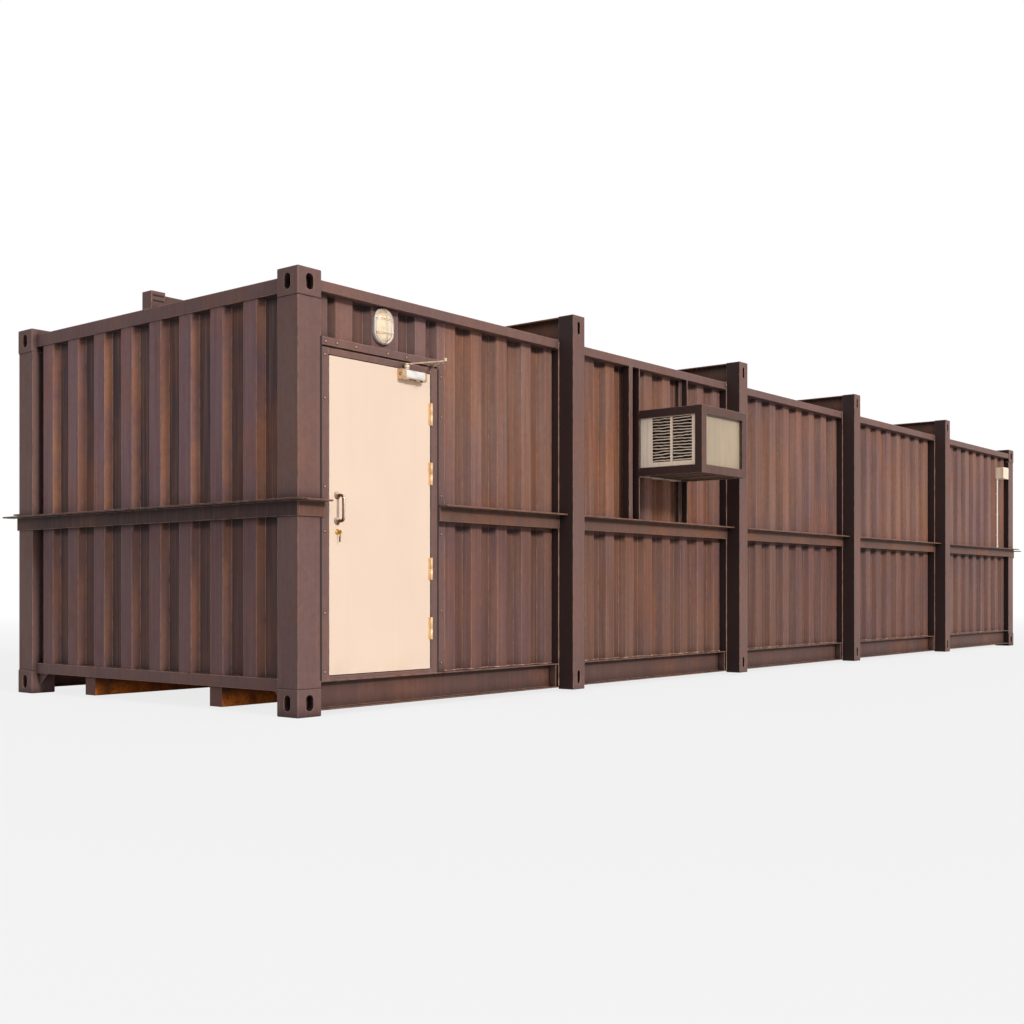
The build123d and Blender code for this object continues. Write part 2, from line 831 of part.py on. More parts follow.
with BuildPart() as light_glass:
    extrude(to_extrude=oval(glass_out, light_margin), amount=light_glass_depth)
    fillet(light_glass.faces().sort_by(Axis.Y)[0].edges(), light_glass_round)
save(light_glass, "light_glass")

# ---- Cooler box on its hangers ----

box_x = (along(box_start), along(box_end))
box_y = (face_y, side_y(front, box_reach))
window_x = (box_x[0] + box_bar_width, box_x[1] - box_bar_width)
window_y = (face_y, box_y[1] + box_bar_width)
window_z = (box_low + box_bar_width, box_high - box_bar_width)

with BuildPart() as cage:
    slab(box_x, box_y, (box_low, box_high))
    slab((box_x[0] + box_bar_thickness, box_x[1] - box_bar_thickness),
         (face_y, box_y[1] + box_bar_thickness),
         (box_low + box_bar_thickness, box_high - box_bar_thickness), Mode.SUBTRACT)
    slab(window_x, box_y, window_z, Mode.SUBTRACT)
    slab(box_x, window_y, window_z, Mode.SUBTRACT)
    slab(window_x, window_y, (box_low, box_high), Mode.SUBTRACT)
save(cage, "cooler_cage")

with BuildPart() as unit:
    slab((along(unit_start), along(unit_end)), (face_y, side_y(front, box_reach - unit_front_recess)), unit_z)
    slab(through_x, (face_y, side_y(front, -reveal_depth)), unit_z)
save(unit, "cooler_unit")

with BuildPart() as hangers:
    wall_y = side_y(front, -side_sheet_inset)
    hanger_z = (side_mid_rail_top, wall_top)
    slab((along(side_strip_start), along(side_strip_start + side_strip_width)), (wall_y, face_y), hanger_z)
    for leg_start, plate_start in ((box_start, box_start), (right_hanger_start, right_plate_start)):
        leg_x = (along(leg_start), along(leg_start + hanger_width))
        slab(leg_x, (wall_y, wall_y - hanger_thickness), hanger_z)
        slab((along(plate_start), along(plate_start + hanger_thickness)), (wall_y, face_y), hanger_z)
save(hangers, "cooler_hangers")

# ---- Junction box and conduit ----

with BuildPart() as junction:
    slab((along(junction_start), along(junction_start + junction_width)),
         (side_y(front, -side_sheet_inset), side_y(front, junction_depth - side_sheet_inset)),
         (junction_low, junction_low + junction_height))
save(junction, "junction_box")

conduit_place = (along(junction_start + conduit_from_start), side_y(front, -conduit_in))
with BuildPart() as conduit:
    rod((*conduit_place, side_mid_rail_top), (*conduit_place, junction_low), conduit_radius)
    for low in (side_mid_rail_top, junction_low - conduit_socket_length):
        rod((*conduit_place, low), (*conduit_place, low + conduit_socket_length), conduit_socket_radius)
save(conduit, "conduit")
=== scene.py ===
import bmesh
import bpy
import json
import math
import random
from mathutils import Matrix, Vector


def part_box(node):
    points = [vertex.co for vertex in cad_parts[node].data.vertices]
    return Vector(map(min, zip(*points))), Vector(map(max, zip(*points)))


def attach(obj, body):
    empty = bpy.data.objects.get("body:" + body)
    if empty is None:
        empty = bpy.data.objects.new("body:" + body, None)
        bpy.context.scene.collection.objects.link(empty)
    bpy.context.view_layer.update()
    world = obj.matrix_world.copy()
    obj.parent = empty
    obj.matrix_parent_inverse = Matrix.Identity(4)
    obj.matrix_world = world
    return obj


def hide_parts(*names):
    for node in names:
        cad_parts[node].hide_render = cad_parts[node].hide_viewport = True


# Shipping container cabin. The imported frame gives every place; this script gives the finish,
# and the small pieces that the frame leaves plain. Metres, +Z up, the front wall faces -Y.

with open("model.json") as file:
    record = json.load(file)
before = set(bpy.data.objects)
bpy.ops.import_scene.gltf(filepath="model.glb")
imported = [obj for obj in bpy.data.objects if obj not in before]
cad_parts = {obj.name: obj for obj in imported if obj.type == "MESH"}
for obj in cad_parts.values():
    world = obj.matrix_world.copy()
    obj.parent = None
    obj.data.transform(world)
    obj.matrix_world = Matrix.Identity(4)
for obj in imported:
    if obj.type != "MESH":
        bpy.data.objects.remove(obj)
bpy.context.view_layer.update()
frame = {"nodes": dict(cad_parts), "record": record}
nodes = frame["nodes"]
draw = random.Random(12)
print("frame loaded:", len(nodes), "nodes")

castingLow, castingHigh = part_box("bottom_corner_castings")
doorEndX = castingLow.x
frontY = castingLow.y
middleY = (frontY + castingHigh.y) / 2
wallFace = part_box("door_leaf")[0].y          # outer face of the leaf, the jambs and the posts


def place(along, out, up):
    # metres from the door end, metres outward of the front castings, and the height
    return Vector((doorEndX + along, frontY - out, up))


# Materials

def paint(red, green, blue):
    # screen colour 0-255 to the linear colour that a shader takes
    parts = [channel / 255 for channel in (red, green, blue)]
    linear = [part / 12.92 if part <= 0.04045 else ((part + 0.055) / 1.055) ** 2.4 for part in parts]
    return (*linear, 1.0)


def addNode(tree, kind, inputs=None, **settings):
    # inputs are values, or sockets to link from, by the input's name or number
    node = tree.nodes.new(kind)
    for name, value in settings.items():
        setattr(node, name, value)
    for name, value in (inputs or {}).items():
        if isinstance(value, bpy.types.NodeSocket):
            tree.links.new(value, node.inputs[name])
        else:
            node.inputs[name].default_value = value
    return node


def newMaterial(name, roughness=0.5, metallic=0.0, **sockets):
    material = bpy.data.materials.new(name)
    material.use_nodes = True
    shader = material.node_tree.nodes["Principled BSDF"]
    shader.inputs["Roughness"].default_value = roughness
    shader.inputs["Metallic"].default_value = metallic
    for socket, value in sockets.items():
        shader.inputs[socket.replace("_", " ")].default_value = value
    return material, material.node_tree, shader


def ownPlace(tree):
    return addNode(tree, "ShaderNodeTexCoord").outputs["Object"]


def ownAxis(tree, axis):
    return addNode(tree, "ShaderNodeSeparateXYZ", {"Vector": ownPlace(tree)}).outputs[axis]


def faceAxis(tree, axis):
    # how far a face looks along an axis, from -1 to 1
    normal = addNode(tree, "ShaderNodeNewGeometry").outputs["True Normal"]
    return addNode(tree, "ShaderNodeSeparateXYZ", {"Vector": normal}).outputs[axis]


def reckon(tree, operation, *values, clamp=False):
    node = addNode(tree, "ShaderNodeMath", dict(enumerate(values)), operation=operation, use_clamp=clamp)
    return node.outputs[0]


def times(tree, first, second):
    return reckon(tree, "MULTIPLY", first, second, clamp=True)


def span(tree, value, low, high, toLow=0.0, toHigh=1.0):
    ranged = addNode(tree, "ShaderNodeMapRange", {"Value": value, "From Min": low, "From Max": high,
                                                  "To Min": toLow, "To Max": toHigh}, clamp=True)
    return ranged.outputs["Result"]


def grain(tree, stretch, detail=3.0, low=0.4, high=0.6, shift=0.0, roughness=0.55):
    # stretched noise as a 0-1 mask; stretch is in repeats a metre along X, Y and Z
    mapping = addNode(tree, "ShaderNodeMapping", {"Vector": ownPlace(tree), "Scale": stretch,
                                                  "Location": (shift, shift * 0.7, shift * 1.3)})
    noise = addNode(tree, "ShaderNodeTexNoise", {"Vector": mapping.outputs[0], "Scale": 1.0,
                                                 "Detail": detail, "Roughness": roughness})
    return span(tree, noise.outputs["Fac"], low, high)


def grainsOf(tree, table):
    # gives the masks of a grain table, each made when it is first asked for
    made = {}

    def mask(kind):
        if kind not in made:
            made[kind] = grain(tree, *table[kind])
        return made[kind]

    return mask


def blendColours(tree, factor, first, second):
    return addNode(tree, "ShaderNodeMix", {0: factor, 6: first, 7: second}, data_type="RGBA").outputs[2]


def coat(tree, colour, mask, over, share):
    # lays a colour over another where the mask is 1, up to a share
    return blendColours(tree, times(tree, mask, share), colour, over)


def roundedNormal(tree, radius):
    return addNode(tree, "ShaderNodeBevel", {"Radius": radius}, samples=4).outputs["Normal"]


def edgeWearAndHighlight(tree, softNormal, low=0.01, high=0.14):
    # 1 on the very edges, where the rounded normal leaves the face's own
    flat = addNode(tree, "ShaderNodeNewGeometry").outputs["True Normal"]
    dot = addNode(tree, "ShaderNodeVectorMath", {0: softNormal, 1: flat}, operation="DOT_PRODUCT")
    return span(tree, dot.outputs["Value"], 1 - high, 1 - low, 1.0, 0.0)


def bumpFrom(tree, shader, height, strength, distance, softNormal=None):
    inputs = {"Height": height, "Strength": strength, "Distance": distance}
    if softNormal is not None:
        inputs["Normal"] = softNormal
    bump = addNode(tree, "ShaderNodeBump", inputs)
    tree.links.new(bump.outputs["Normal"], shader.inputs["Normal"])
    return bump.outputs["Normal"]


def heightMask(tree, low, high):
    # 1 at and below the low height, 0 above the high one
    return span(tree, ownAxis(tree, "Z"), low, high, 1.0, 0.0)


def hollowShade(tree, reach, low, high):
    # 1 in corners and hollows, 0 out in the open: the mask of painted shade from ambient occlusion
    hollow = addNode(tree, "ShaderNodeAmbientOcclusion", {"Distance": reach}, samples=4)
    return span(tree, hollow.outputs["AO"], low, high, 1.0, 0.0)


def facing(tree, axis, low, high, sign=1.0):
    # 1 where the face looks along an axis
    return span(tree, faceAxis(tree, axis), sign * low, sign * high)


def foldDepth(tree, axis, middle, ridge, valley):
    # 0 at the distance of the ridges from the middle and beyond, 1 at that of the valleys
    moved = reckon(tree, "SUBTRACT", ownAxis(tree, axis), middle)
    return span(tree, reckon(tree, "ABSOLUTE", moved), ridge, valley)


def underLevel(tree, level, reach, fullFrom=0.6, lip=0.003):
    # 1 just under a height, 0 above it and below the reach: where a painted shadow under a rail falls
    rising = span(tree, ownAxis(tree, "Z"), level - reach, level - reach * fullFrom)
    return times(tree, rising, span(tree, ownAxis(tree, "Z"), level, level + lip, 1.0, 0.0))


def inwardShadedFaces(tree, nearest, full):
    # 1 on faces near the ends that look back toward the middle of the cabin, where painted shade goes
    product = reckon(tree, "MULTIPLY", faceAxis(tree, "X"), ownAxis(tree, "X"))
    return span(tree, product, -full, -nearest, 1.0, 0.0)


def flank(tree, low, high):
    # 1 on faces that look along the cabin, either way
    return span(tree, reckon(tree, "ABSOLUTE", faceAxis(tree, "X")), low, high)


# Grain tables: repeats a metre along X, Y and Z, detail, where the mask starts and where it is full,
# then, where it isn't the usual one, a shift to a fresh part of the noise and the noise's roughness

steelGrains = {
    "patches": ((0.9, 0.9, 0.7), 3.0, 0.36, 0.64),
    "slopes": ((3, 3, 2.2), 4.0, 0.3, 0.62, 4.4),
    "clouds": ((2.1, 2.1, 1.3), 6.0, 0.49, 0.66, 3.1, 0.62),
    "bands": ((8, 8, 0.9), 4.0, 0.47, 0.68, 12.3),
    "spot": ((6, 6, 1.6), 5.0, 0.38, 0.6, 18.1),
    "darkBands": ((7, 7, 0.6), 5.0, 0.48, 0.7, 6.2),
    "streaks": ((48, 48, 1.1), 3.0, 0.42, 0.7, 9.4),
    "darkStreaks": ((36, 36, 0.8), 3.0, 0.45, 0.72, 15.8),
    "blotches": ((6, 6, 4), 6.0, 0.5, 0.72, 1.7, 0.7),
    "mottle": ((26, 26, 22), 4.0, 0.35, 0.7, 7.1, 0.65),
    "splash": ((7, 7, 5), 5.0, 0.35, 0.7, 2.2),
    "edges": ((16, 16, 16), 4.0, 0.28, 0.55, 7.7),
    "skin": ((140, 140, 110), 3.0, 0.3, 0.7, 5.5),
    "dents": ((2.6, 2.6, 1.4), 1.0, 0.2, 0.8, 8.8),
}
rustLayers = (("clouds", "rust", "rustCloud"), ("bands", "rust", "rustBand"))
grimeLayers = (("darkBands", "dark", "darkBand"), ("streaks", "pale", "streak"),
               ("darkStreaks", "dark", "streak"), ("blotches", "rust", "blotch"),
               ("mottle", "dark", "mottle"))


def weatheredSteel(name, look):
    material, tree, shader = newMaterial(name, roughness=look["roughness"], Specular_IOR_Level=look["gloss"])
    softNormal = roundedNormal(tree, look["edgeRadius"])
    mask = grainsOf(tree, steelGrains)
    colour = blendColours(tree, mask("patches"), look["base"], look["cool"])
    behindRidges = None
    if look["fold"]:
        axis, middle, ridge, valley = look["fold"]
        # painted shade in the valleys of the folds
        colour = coat(tree, colour, foldDepth(tree, axis, middle, ridge, valley), look["valley"],
                      look["valleyShadeShare"])
        ridgeOut, slopeOut = look["ridgeEdge"]
        behindRidges = foldDepth(tree, axis, middle, ridge + ridgeOut, ridge + slopeOut)
    # painted light on the slopes that face -Y toward the key light, in an orange tone
    if look["litSlopeShare"]:
        slope = times(tree, facing(tree, "Y", *look["litSlopeSpan"], -1.0), mask("slopes"))
        colour = coat(tree, colour, slope, look["slope"], look["litSlopeShare"])
    for kind, over, share in rustLayers:
        colour = coat(tree, colour, mask(kind), look[over], look[share])
    if look["rustSpot"]:
        centre, reach = look["rustSpot"]
        away = addNode(tree, "ShaderNodeVectorMath", {0: ownPlace(tree), 1: centre}, operation="DISTANCE")
        near = span(tree, away.outputs["Value"], reach * look["spotCore"], reach, look["spotShare"], 0.0)
        colour = blendColours(tree, times(tree, near, mask("spot")), colour, look["slope"])
    for kind, over, share in grimeLayers:
        colour = coat(tree, colour, mask(kind), look[over], look[share])
    # darker below the mid rail: painted shade of the mid rail's flange
    lower = heightMask(tree, look["lowerFrom"] - look["lowerFade"], look["lowerFrom"])
    colour = coat(tree, colour, lower, look["dark"], look["lowerShadeShare"])
    splash = times(tree, heightMask(tree, look["splashFull"], look["splashHeight"]), mask("splash"))
    colour = coat(tree, colour, splash, look["dark"], look["splash"])
    # painted shade on the faces that look along the cabin
    colour = coat(tree, colour, flank(tree, *look["flankSpan"]), look["flank"], look["flankShadeShare"])
    # painted shade on the faces near the ends that look back into the cabin
    if look["innerShadeShare"]:
        colour = coat(tree, colour, inwardShadedFaces(tree, *look["innerSpan"]), look["flank"], look["innerShadeShare"])
    # painted shade in corners and hollows from ambient occlusion, weaker on the ridge faces
    paintedHollowShade = times(tree, hollowShade(tree, look["hollowShadeReach"], *look["hollowShadeSpan"]), look["hollowShade"])
    if behindRidges is not None:
        paintedHollowShade = times(tree, paintedHollowShade, span(tree, behindRidges, 0.0, 1.0, look["ridgeHollowShade"], 1.0))
        # painted shadow just under the rails, in the valleys behind the ridge faces
        for level in look["railLevels"]:
            shade = times(tree, behindRidges, underLevel(tree, level, look["shadeReach"]))
            colour = coat(tree, colour, shade, look["grimeAndShade"], look["railShade"])
    colour = blendColours(tree, paintedHollowShade, colour, look["grimeAndShade"])
    # lighter edges: worn paint, partly painted highlight where the edges catch the light
    wornAndLitEdges = times(tree, edgeWearAndHighlight(tree, softNormal), mask("edges"))
    colour = coat(tree, colour, wornAndLitEdges, look["bareAndHighlight"], look["edgeWearAndHighlight"])
    tree.links.new(colour, shader.inputs["Base Color"])
    smoother, rougher = look["roughnessSpread"]
    uneven = span(tree, mask("blotches"), 0.0, 1.0, look["roughness"] - smoother,
                  look["roughness"] + rougher)
    tree.links.new(uneven, shader.inputs["Roughness"])
    skin = bumpFrom(tree, shader, mask("skin"), *look["skinBump"], softNormal)
    bumpFrom(tree, shader, mask("dents"), look["dent"], look["dentDepth"], skin)
    return material


# the near-black colour of hollows and rail undersides, the valley colour and the flank colour are painted
# shade; the slope colour is painted light on the end walls and rust on the side walls; the bare edge colour
# is partly painted highlight
steelLook = {
    "base": paint(143, 109, 96), "cool": paint(124, 93, 95), "rust": paint(170, 106, 64),
    "pale": paint(174, 140, 124), "dark": paint(74, 53, 52), "bareAndHighlight": paint(214, 174, 150),
    "slope": paint(146, 104, 84), "grimeAndShade": paint(34, 25, 27), "valley": paint(108, 76, 64),
    "flank": paint(30, 22, 24),
    "roughness": 0.62, "roughnessSpread": (0.08, 0.16), "gloss": 0.14, "edgeRadius": 0.007,
    "rustCloud": 0.34, "rustBand": 0.32, "darkBand": 0.34, "streak": 0.3, "blotch": 0.12, "mottle": 0.2,
    "fold": None, "ridgeEdge": (0.027, 0.018), "valleyShadeShare": 0.75, "litSlopeShare": 0.0,
    "litSlopeSpan": (0.3, 0.6), "ridgeHollowShade": 0.35, "railShade": 0.64, "shadeReach": 0.052,
    "railLevels": (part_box("front_wall_bays")[1].z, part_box("front_mid_rails")[0].z),
    "rustSpot": None, "spotCore": 0.4, "spotShare": 0.55,
    "splash": 0.25, "splashFull": 0.05, "splashHeight": 0.5,
    "lowerFrom": 1.25, "lowerFade": 0.1, "lowerShadeShare": 0.0,
    "flankShadeShare": 0.0, "flankSpan": (0.75, 0.9), "innerShadeShare": 0.0, "innerSpan": (3.0, 4.5),
    "hollowShade": 0.6, "hollowShadeReach": 0.07, "hollowShadeSpan": (0.4, 0.9),
    "edgeWearAndHighlight": 0.9, "skinBump": (0.2, 0.0008), "dent": 0.2, "dentDepth": 0.02,
}
plainBar = {"edgeWearAndHighlight": 0.65, "rustCloud": 0.12, "rustBand": 0.0, "darkBand": 0.08, "streak": 0.07,
            "blotch": 0.1, "dent": 0.1}
sideFold = ("Y", middleY, 1.424, 1.4185)     # axis, middle, and how far the ridges and valleys are from it
endFold = ("X", 0.0, 6.018, 6.0125)
steels = {
    "wall_steel": {"fold": sideFold, "flankShadeShare": 0.22, "flankSpan": (0.3, 0.6), "lowerShadeShare": 0.3,
                   "rustSpot": (place(3.4, -0.08, 1.5), 1.5), "slope": paint(152, 94, 58)},
    "over_door_steel": {"fold": sideFold, "base": paint(136, 106, 102), "cool": paint(130, 102, 103),
                        "valley": paint(94, 68, 64), "rustCloud": 0.15, "rustBand": 0.08,
                        "flankShadeShare": 0.42, "flankSpan": (0.3, 0.6), "streak": 0.16, "darkBand": 0.16},
    # the end walls get darker, more mauve paint than the side walls: partly a mauve tone, partly painted
    # shade for faces that look along the cabin
    "end_wall_steel": {"fold": endFold, "base": paint(118, 90, 93), "cool": paint(106, 82, 90),
                       "slope": paint(158, 108, 82), "litSlopeShare": 0.95, "valley": paint(52, 38, 41),
                       "valleyShadeShare": 0.92, "rust": paint(146, 90, 58), "rustCloud": 0.3, "rustBand": 0.12,
                       "darkBand": 0.3, "streak": 0.16, "lowerShadeShare": 0.44, "hollowShadeReach": 0.1,
                       "hollowShade": 0.8,
                       "railLevels": (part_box("door_end_wall")[1].z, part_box("end_mid_rails")[0].z)},
    "frame_steel": {**plainBar, "base": paint(126, 98, 93), "cool": paint(119, 94, 92)},
    "post_steel": {**plainBar, "base": paint(122, 95, 89), "cool": paint(115, 91, 88), "flankShadeShare": 0.86},
    "corner_steel": {**plainBar, "base": paint(124, 96, 91), "cool": paint(117, 92, 91),
                     "flankShadeShare": 0.36, "innerShadeShare": 0.9, "hollowShade": 0.96},
    "rail_steel": {**plainBar, "base": paint(104, 79, 73), "cool": paint(97, 74, 71), "rustCloud": 0.2,
                   "blotch": 0.16},
    "mid_rail_steel": {**plainBar, "base": paint(114, 86, 75), "cool": paint(106, 80, 72),
                       "rustCloud": 0.25, "blotch": 0.2, "flankShadeShare": 0.5},
    "end_rail_steel": {**plainBar, "base": paint(96, 74, 73), "cool": paint(90, 70, 71)},
    # near-black copy of the rail paint: painted shade of the end mid rails under their flanges
    "end_mid_shaded_steel": {**plainBar, "base": paint(54, 37, 37), "cool": paint(48, 34, 35)},
    "roof_steel": {**plainBar, "base": paint(118, 94, 88), "cool": paint(108, 86, 82), "gloss": 0.03,
                   "roughness": 0.8, "rustCloud": 0.5, "blotch": 0.45, "flankShadeShare": 0.3},
    "cage_steel": {**plainBar, "base": paint(106, 81, 75), "cool": paint(98, 75, 72), "flankShadeShare": 0.74},
    "weld_steel": {"base": paint(128, 98, 90), "rustBand": 0.0, "edgeRadius": 0.002, "hollowShadeReach": 0.02},
}
finish = {name: weatheredSteel(name, {**steelLook, **changes}) for name, changes in steels.items()}

rustyGrains = {
    "clouds": ((5, 5, 8), 6.0, 0.36, 0.64, 0.0, 0.65),
    "low": ((9, 9, 5), 5.0, 0.25, 0.6, 2.9),
    "flecks": ((60, 60, 60), 4.0, 0.5, 0.68, 4.0),
}


def rustySteel(name, look):
    # dark rusted sides, brightest low down near the ends as painted bounce light from the floor on the rust,
    # and painted end faces
    material, tree, shader = newMaterial(name, roughness=look["roughness"], Specular_IOR_Level=look["gloss"])
    mask = grainsOf(tree, rustyGrains)
    colour = blendColours(tree, mask("clouds"), look["rust"], look["deep"])
    # painted bounce light from the floor, low down near the ends
    nearEnd = foldDepth(tree, "X", 0.0, look["brightFrom"], look["brightAt"])
    low = times(tree, heightMask(tree, look["brightTo"], look["darkFrom"]), nearEnd)
    colour = blendColours(tree, times(tree, low, mask("low")), colour, look["bright"])
    colour = coat(tree, colour, mask("flecks"), look["deep"], look["fleckShare"])
    colour = blendColours(tree, flank(tree, *look["flankSpan"]), colour, look["paint"])
    # painted shade in corners and hollows from ambient occlusion
    paintedHollowShade = hollowShade(tree, look["hollowShadeReach"], *look["hollowShadeSpan"])
    colour = coat(tree, colour, paintedHollowShade, look["grimeAndShade"], look["hollowShade"])
    tree.links.new(colour, shader.inputs["Base Color"])
    bumpFrom(tree, shader, mask("flecks"), *look["bump"], roundedNormal(tree, look["edgeRadius"]))
    return material


rustyLook = {
    "rust": paint(120, 68, 38), "deep": paint(58, 34, 25), "bright": paint(255, 146, 58),
    "paint": paint(94, 68, 65), "grimeAndShade": paint(36, 22, 19), "roughness": 0.75, "gloss": 0.15,
    "edgeRadius": 0.005, "brightTo": 0.04, "darkFrom": 0.12, "brightFrom": 5.1, "brightAt": 5.95,
    "fleckShare": 0.5, "flankSpan": (0.4, 0.7), "hollowShade": 0.5, "hollowShadeReach": 0.1,
    "hollowShadeSpan": (0.3, 0.8), "bump": (0.3, 0.001),
}
finish["skid_rust"] = rustySteel("skid_rust", rustyLook)
finish["under_rust"] = rustySteel("under_rust", {**rustyLook, "bright": paint(150, 88, 46)})
print("steel finishes made")

doorGrains = {
    "clouds": ((1.6, 1.6, 1.0), 3.0, 0.3, 0.7),
    "streaks": ((30, 30, 0.8), 4.0, 0.55, 0.8, 2.5),
    "foot": ((9, 9, 4), 5.0, 0.35, 0.75, 4.1),
    "specks": ((70, 70, 70), 3.0, 0.68, 0.74, 6.6),
    "chips": ((25, 25, 25), 4.0, 0.4, 0.62, 1.2),
    "skin": ((160, 160, 160), 2.0, 0.3, 0.7, 3.3),
    "waves": ((2.2, 2.2, 1.8), 1.0, 0.2, 0.8, 5.9),
}
doorLook = {
    "paint": paint(244, 220, 199), "shade": paint(238, 214, 195), "grimeAndShade": paint(190, 158, 132),
    "chip": paint(120, 92, 80), "roughness": 0.42, "gloss": 0.3, "edgeRadius": 0.004, "streak": 0.05,
    "footLow": 0.24, "footHigh": 0.36, "footGrime": 0.22, "specks": 0.35, "skinBump": (0.12, 0.0006),
    "waveBump": (0.12, 0.02),
}


def doorPaint(name, look):
    material, tree, shader = newMaterial(name, roughness=look["roughness"], Specular_IOR_Level=look["gloss"])
    softNormal = roundedNormal(tree, look["edgeRadius"])
    mask = grainsOf(tree, doorGrains)
    colour = blendColours(tree, mask("clouds"), look["paint"], look["shade"])
    colour = coat(tree, colour, mask("streaks"), look["grimeAndShade"], look["streak"])
    foot = times(tree, heightMask(tree, look["footLow"], look["footHigh"]), mask("foot"))
    colour = coat(tree, colour, foot, look["grimeAndShade"], look["footGrime"])
    colour = coat(tree, colour, mask("specks"), look["chip"], look["specks"])
    chips = times(tree, edgeWearAndHighlight(tree, softNormal), mask("chips"))
    colour = blendColours(tree, chips, colour, look["chip"])
    tree.links.new(colour, shader.inputs["Base Color"])
    skin = bumpFrom(tree, shader, mask("skin"), *look["skinBump"], softNormal)
    bumpFrom(tree, shader, mask("waves"), *look["waveBump"], skin)
    return material


finish["door_paint"] = doorPaint("door_paint", doorLook)


metalLook = {
    "clouds": ((22, 22, 22), 4.0, 0.35, 0.68), "rubbing": (3.0, 0.3, 0.7, 2.0),
    "under": None, "underSpan": (0.15, 0.6), "leftSpan": (0.35, 0.75),
    "roughnessSpread": (0.06, 0.1), "bump": (0.1, 0.0004), "edgeRadius": 0.0012,
}


def metalFinish(name, look):
    material, tree, shader = newMaterial(name, roughness=look["roughness"], metallic=look["metallic"])
    clouds = grain(tree, *look["clouds"])
    colour = coat(tree, look["bright"], clouds, look["tarnish"], look["tarnishShare"])
    if look["under"]:                        # painted shade and painted reflection of the brown wall, on the underside and the left side
        colour = blendColours(tree, facing(tree, "Z", *look["underSpan"], -1.0), colour, look["under"])
        colour = blendColours(tree, facing(tree, "X", *look["leftSpan"], -1.0), colour, look["under"])
    tree.links.new(colour, shader.inputs["Base Color"])
    rubbed = grain(tree, look["brush"], *look["rubbing"])
    smoother, rougher = look["roughnessSpread"]
    uneven = span(tree, rubbed, 0.0, 1.0, look["roughness"] - smoother, look["roughness"] + rougher)
    tree.links.new(uneven, shader.inputs["Roughness"])
    bumpFrom(tree, shader, rubbed, *look["bump"], roundedNormal(tree, look["edgeRadius"]))
    return material


metals = {
    "brass": {"bright": paint(244, 214, 170), "tarnish": paint(214, 164, 112), "tarnishShare": 0.5,
              "metallic": 0.25, "roughness": 0.36, "brush": (60, 60, 200)},
    "brass_worn": {"bright": paint(238, 204, 158), "tarnish": paint(204, 150, 98), "tarnishShare": 0.55,
                   "metallic": 0.25, "roughness": 0.4, "brush": (60, 60, 200)},
    "screw_heads": {"bright": paint(178, 144, 126), "tarnish": paint(140, 108, 96), "tarnishShare": 0.6,
                    "metallic": 0.3, "roughness": 0.4, "brush": (90, 90, 90)},
    "lock_brass": {"bright": paint(206, 156, 74), "tarnish": paint(120, 78, 34), "tarnishShare": 0.6,
                   "metallic": 0.9, "roughness": 0.28, "brush": (120, 120, 120)},
    "stainless": {"bright": paint(214, 204, 190), "tarnish": paint(150, 118, 88), "tarnishShare": 0.45,
                  "metallic": 0.95, "roughness": 0.2, "brush": (90, 90, 40)},
    "handle_steel": {"bright": paint(220, 212, 198), "tarnish": paint(186, 168, 148), "tarnishShare": 0.4,
                     "metallic": 0.75, "roughness": 0.22, "brush": (90, 90, 40),
                     "under": paint(104, 62, 34)},
    "key_bronze": {"bright": paint(128, 88, 44), "tarnish": paint(74, 46, 26), "tarnishShare": 0.7,
                   "metallic": 0.6, "roughness": 0.35, "brush": (120, 120, 120)},
    "closer_silver": {"bright": paint(250, 246, 242), "tarnish": paint(228, 220, 212), "tarnishShare": 0.5,
                      "metallic": 0.35, "roughness": 0.38, "brush": (20, 160, 160)},
    "closer_cap": {"bright": paint(214, 184, 146), "tarnish": paint(172, 132, 92), "tarnishShare": 0.5,
                   "metallic": 0.3, "roughness": 0.45, "brush": (120, 120, 120)},
    "arm_bronze": {"bright": paint(226, 208, 186), "tarnish": paint(168, 138, 110), "tarnishShare": 0.6,
                   "metallic": 0.45, "roughness": 0.34, "brush": (40, 40, 160)},
    "guard_wire": {"bright": paint(206, 190, 176), "tarnish": paint(170, 146, 126), "tarnishShare": 0.6,
                   "metallic": 0.7, "roughness": 0.35, "brush": (120, 120, 120)},
}
for name, look in metals.items():
    finish[name] = metalFinish(name, {**metalLook, **look})
print("door and metal finishes made")

plasticGrains = {
    "clouds": ((4, 4, 3), 4.0, 0.3, 0.7),
    "streaks": ((40, 40, 2.5), 4.0, 0.5, 0.76, 2.7),
    "specks": ((110, 110, 110), 3.0, 0.66, 0.73, 4.9),
    "skin": ((190, 190, 190), 2.0, 0.3, 0.7, 3.6),
}
plasticBump = (0.1, 0.0005)


def plasticFinish(name, look):
    material, tree, shader = newMaterial(name, roughness=look["roughness"])
    mask = grainsOf(tree, plasticGrains)
    colour = blendColours(tree, mask("clouds"), look["body"], look["shade"])
    for kind in ("streaks", "specks"):
        colour = coat(tree, colour, mask(kind), look["grimeAndShade"], look["grimeShare"])
    tree.links.new(colour, shader.inputs["Base Color"])
    bumpFrom(tree, shader, mask("skin"), *plasticBump, roundedNormal(tree, look["edgeRadius"]))
    return material


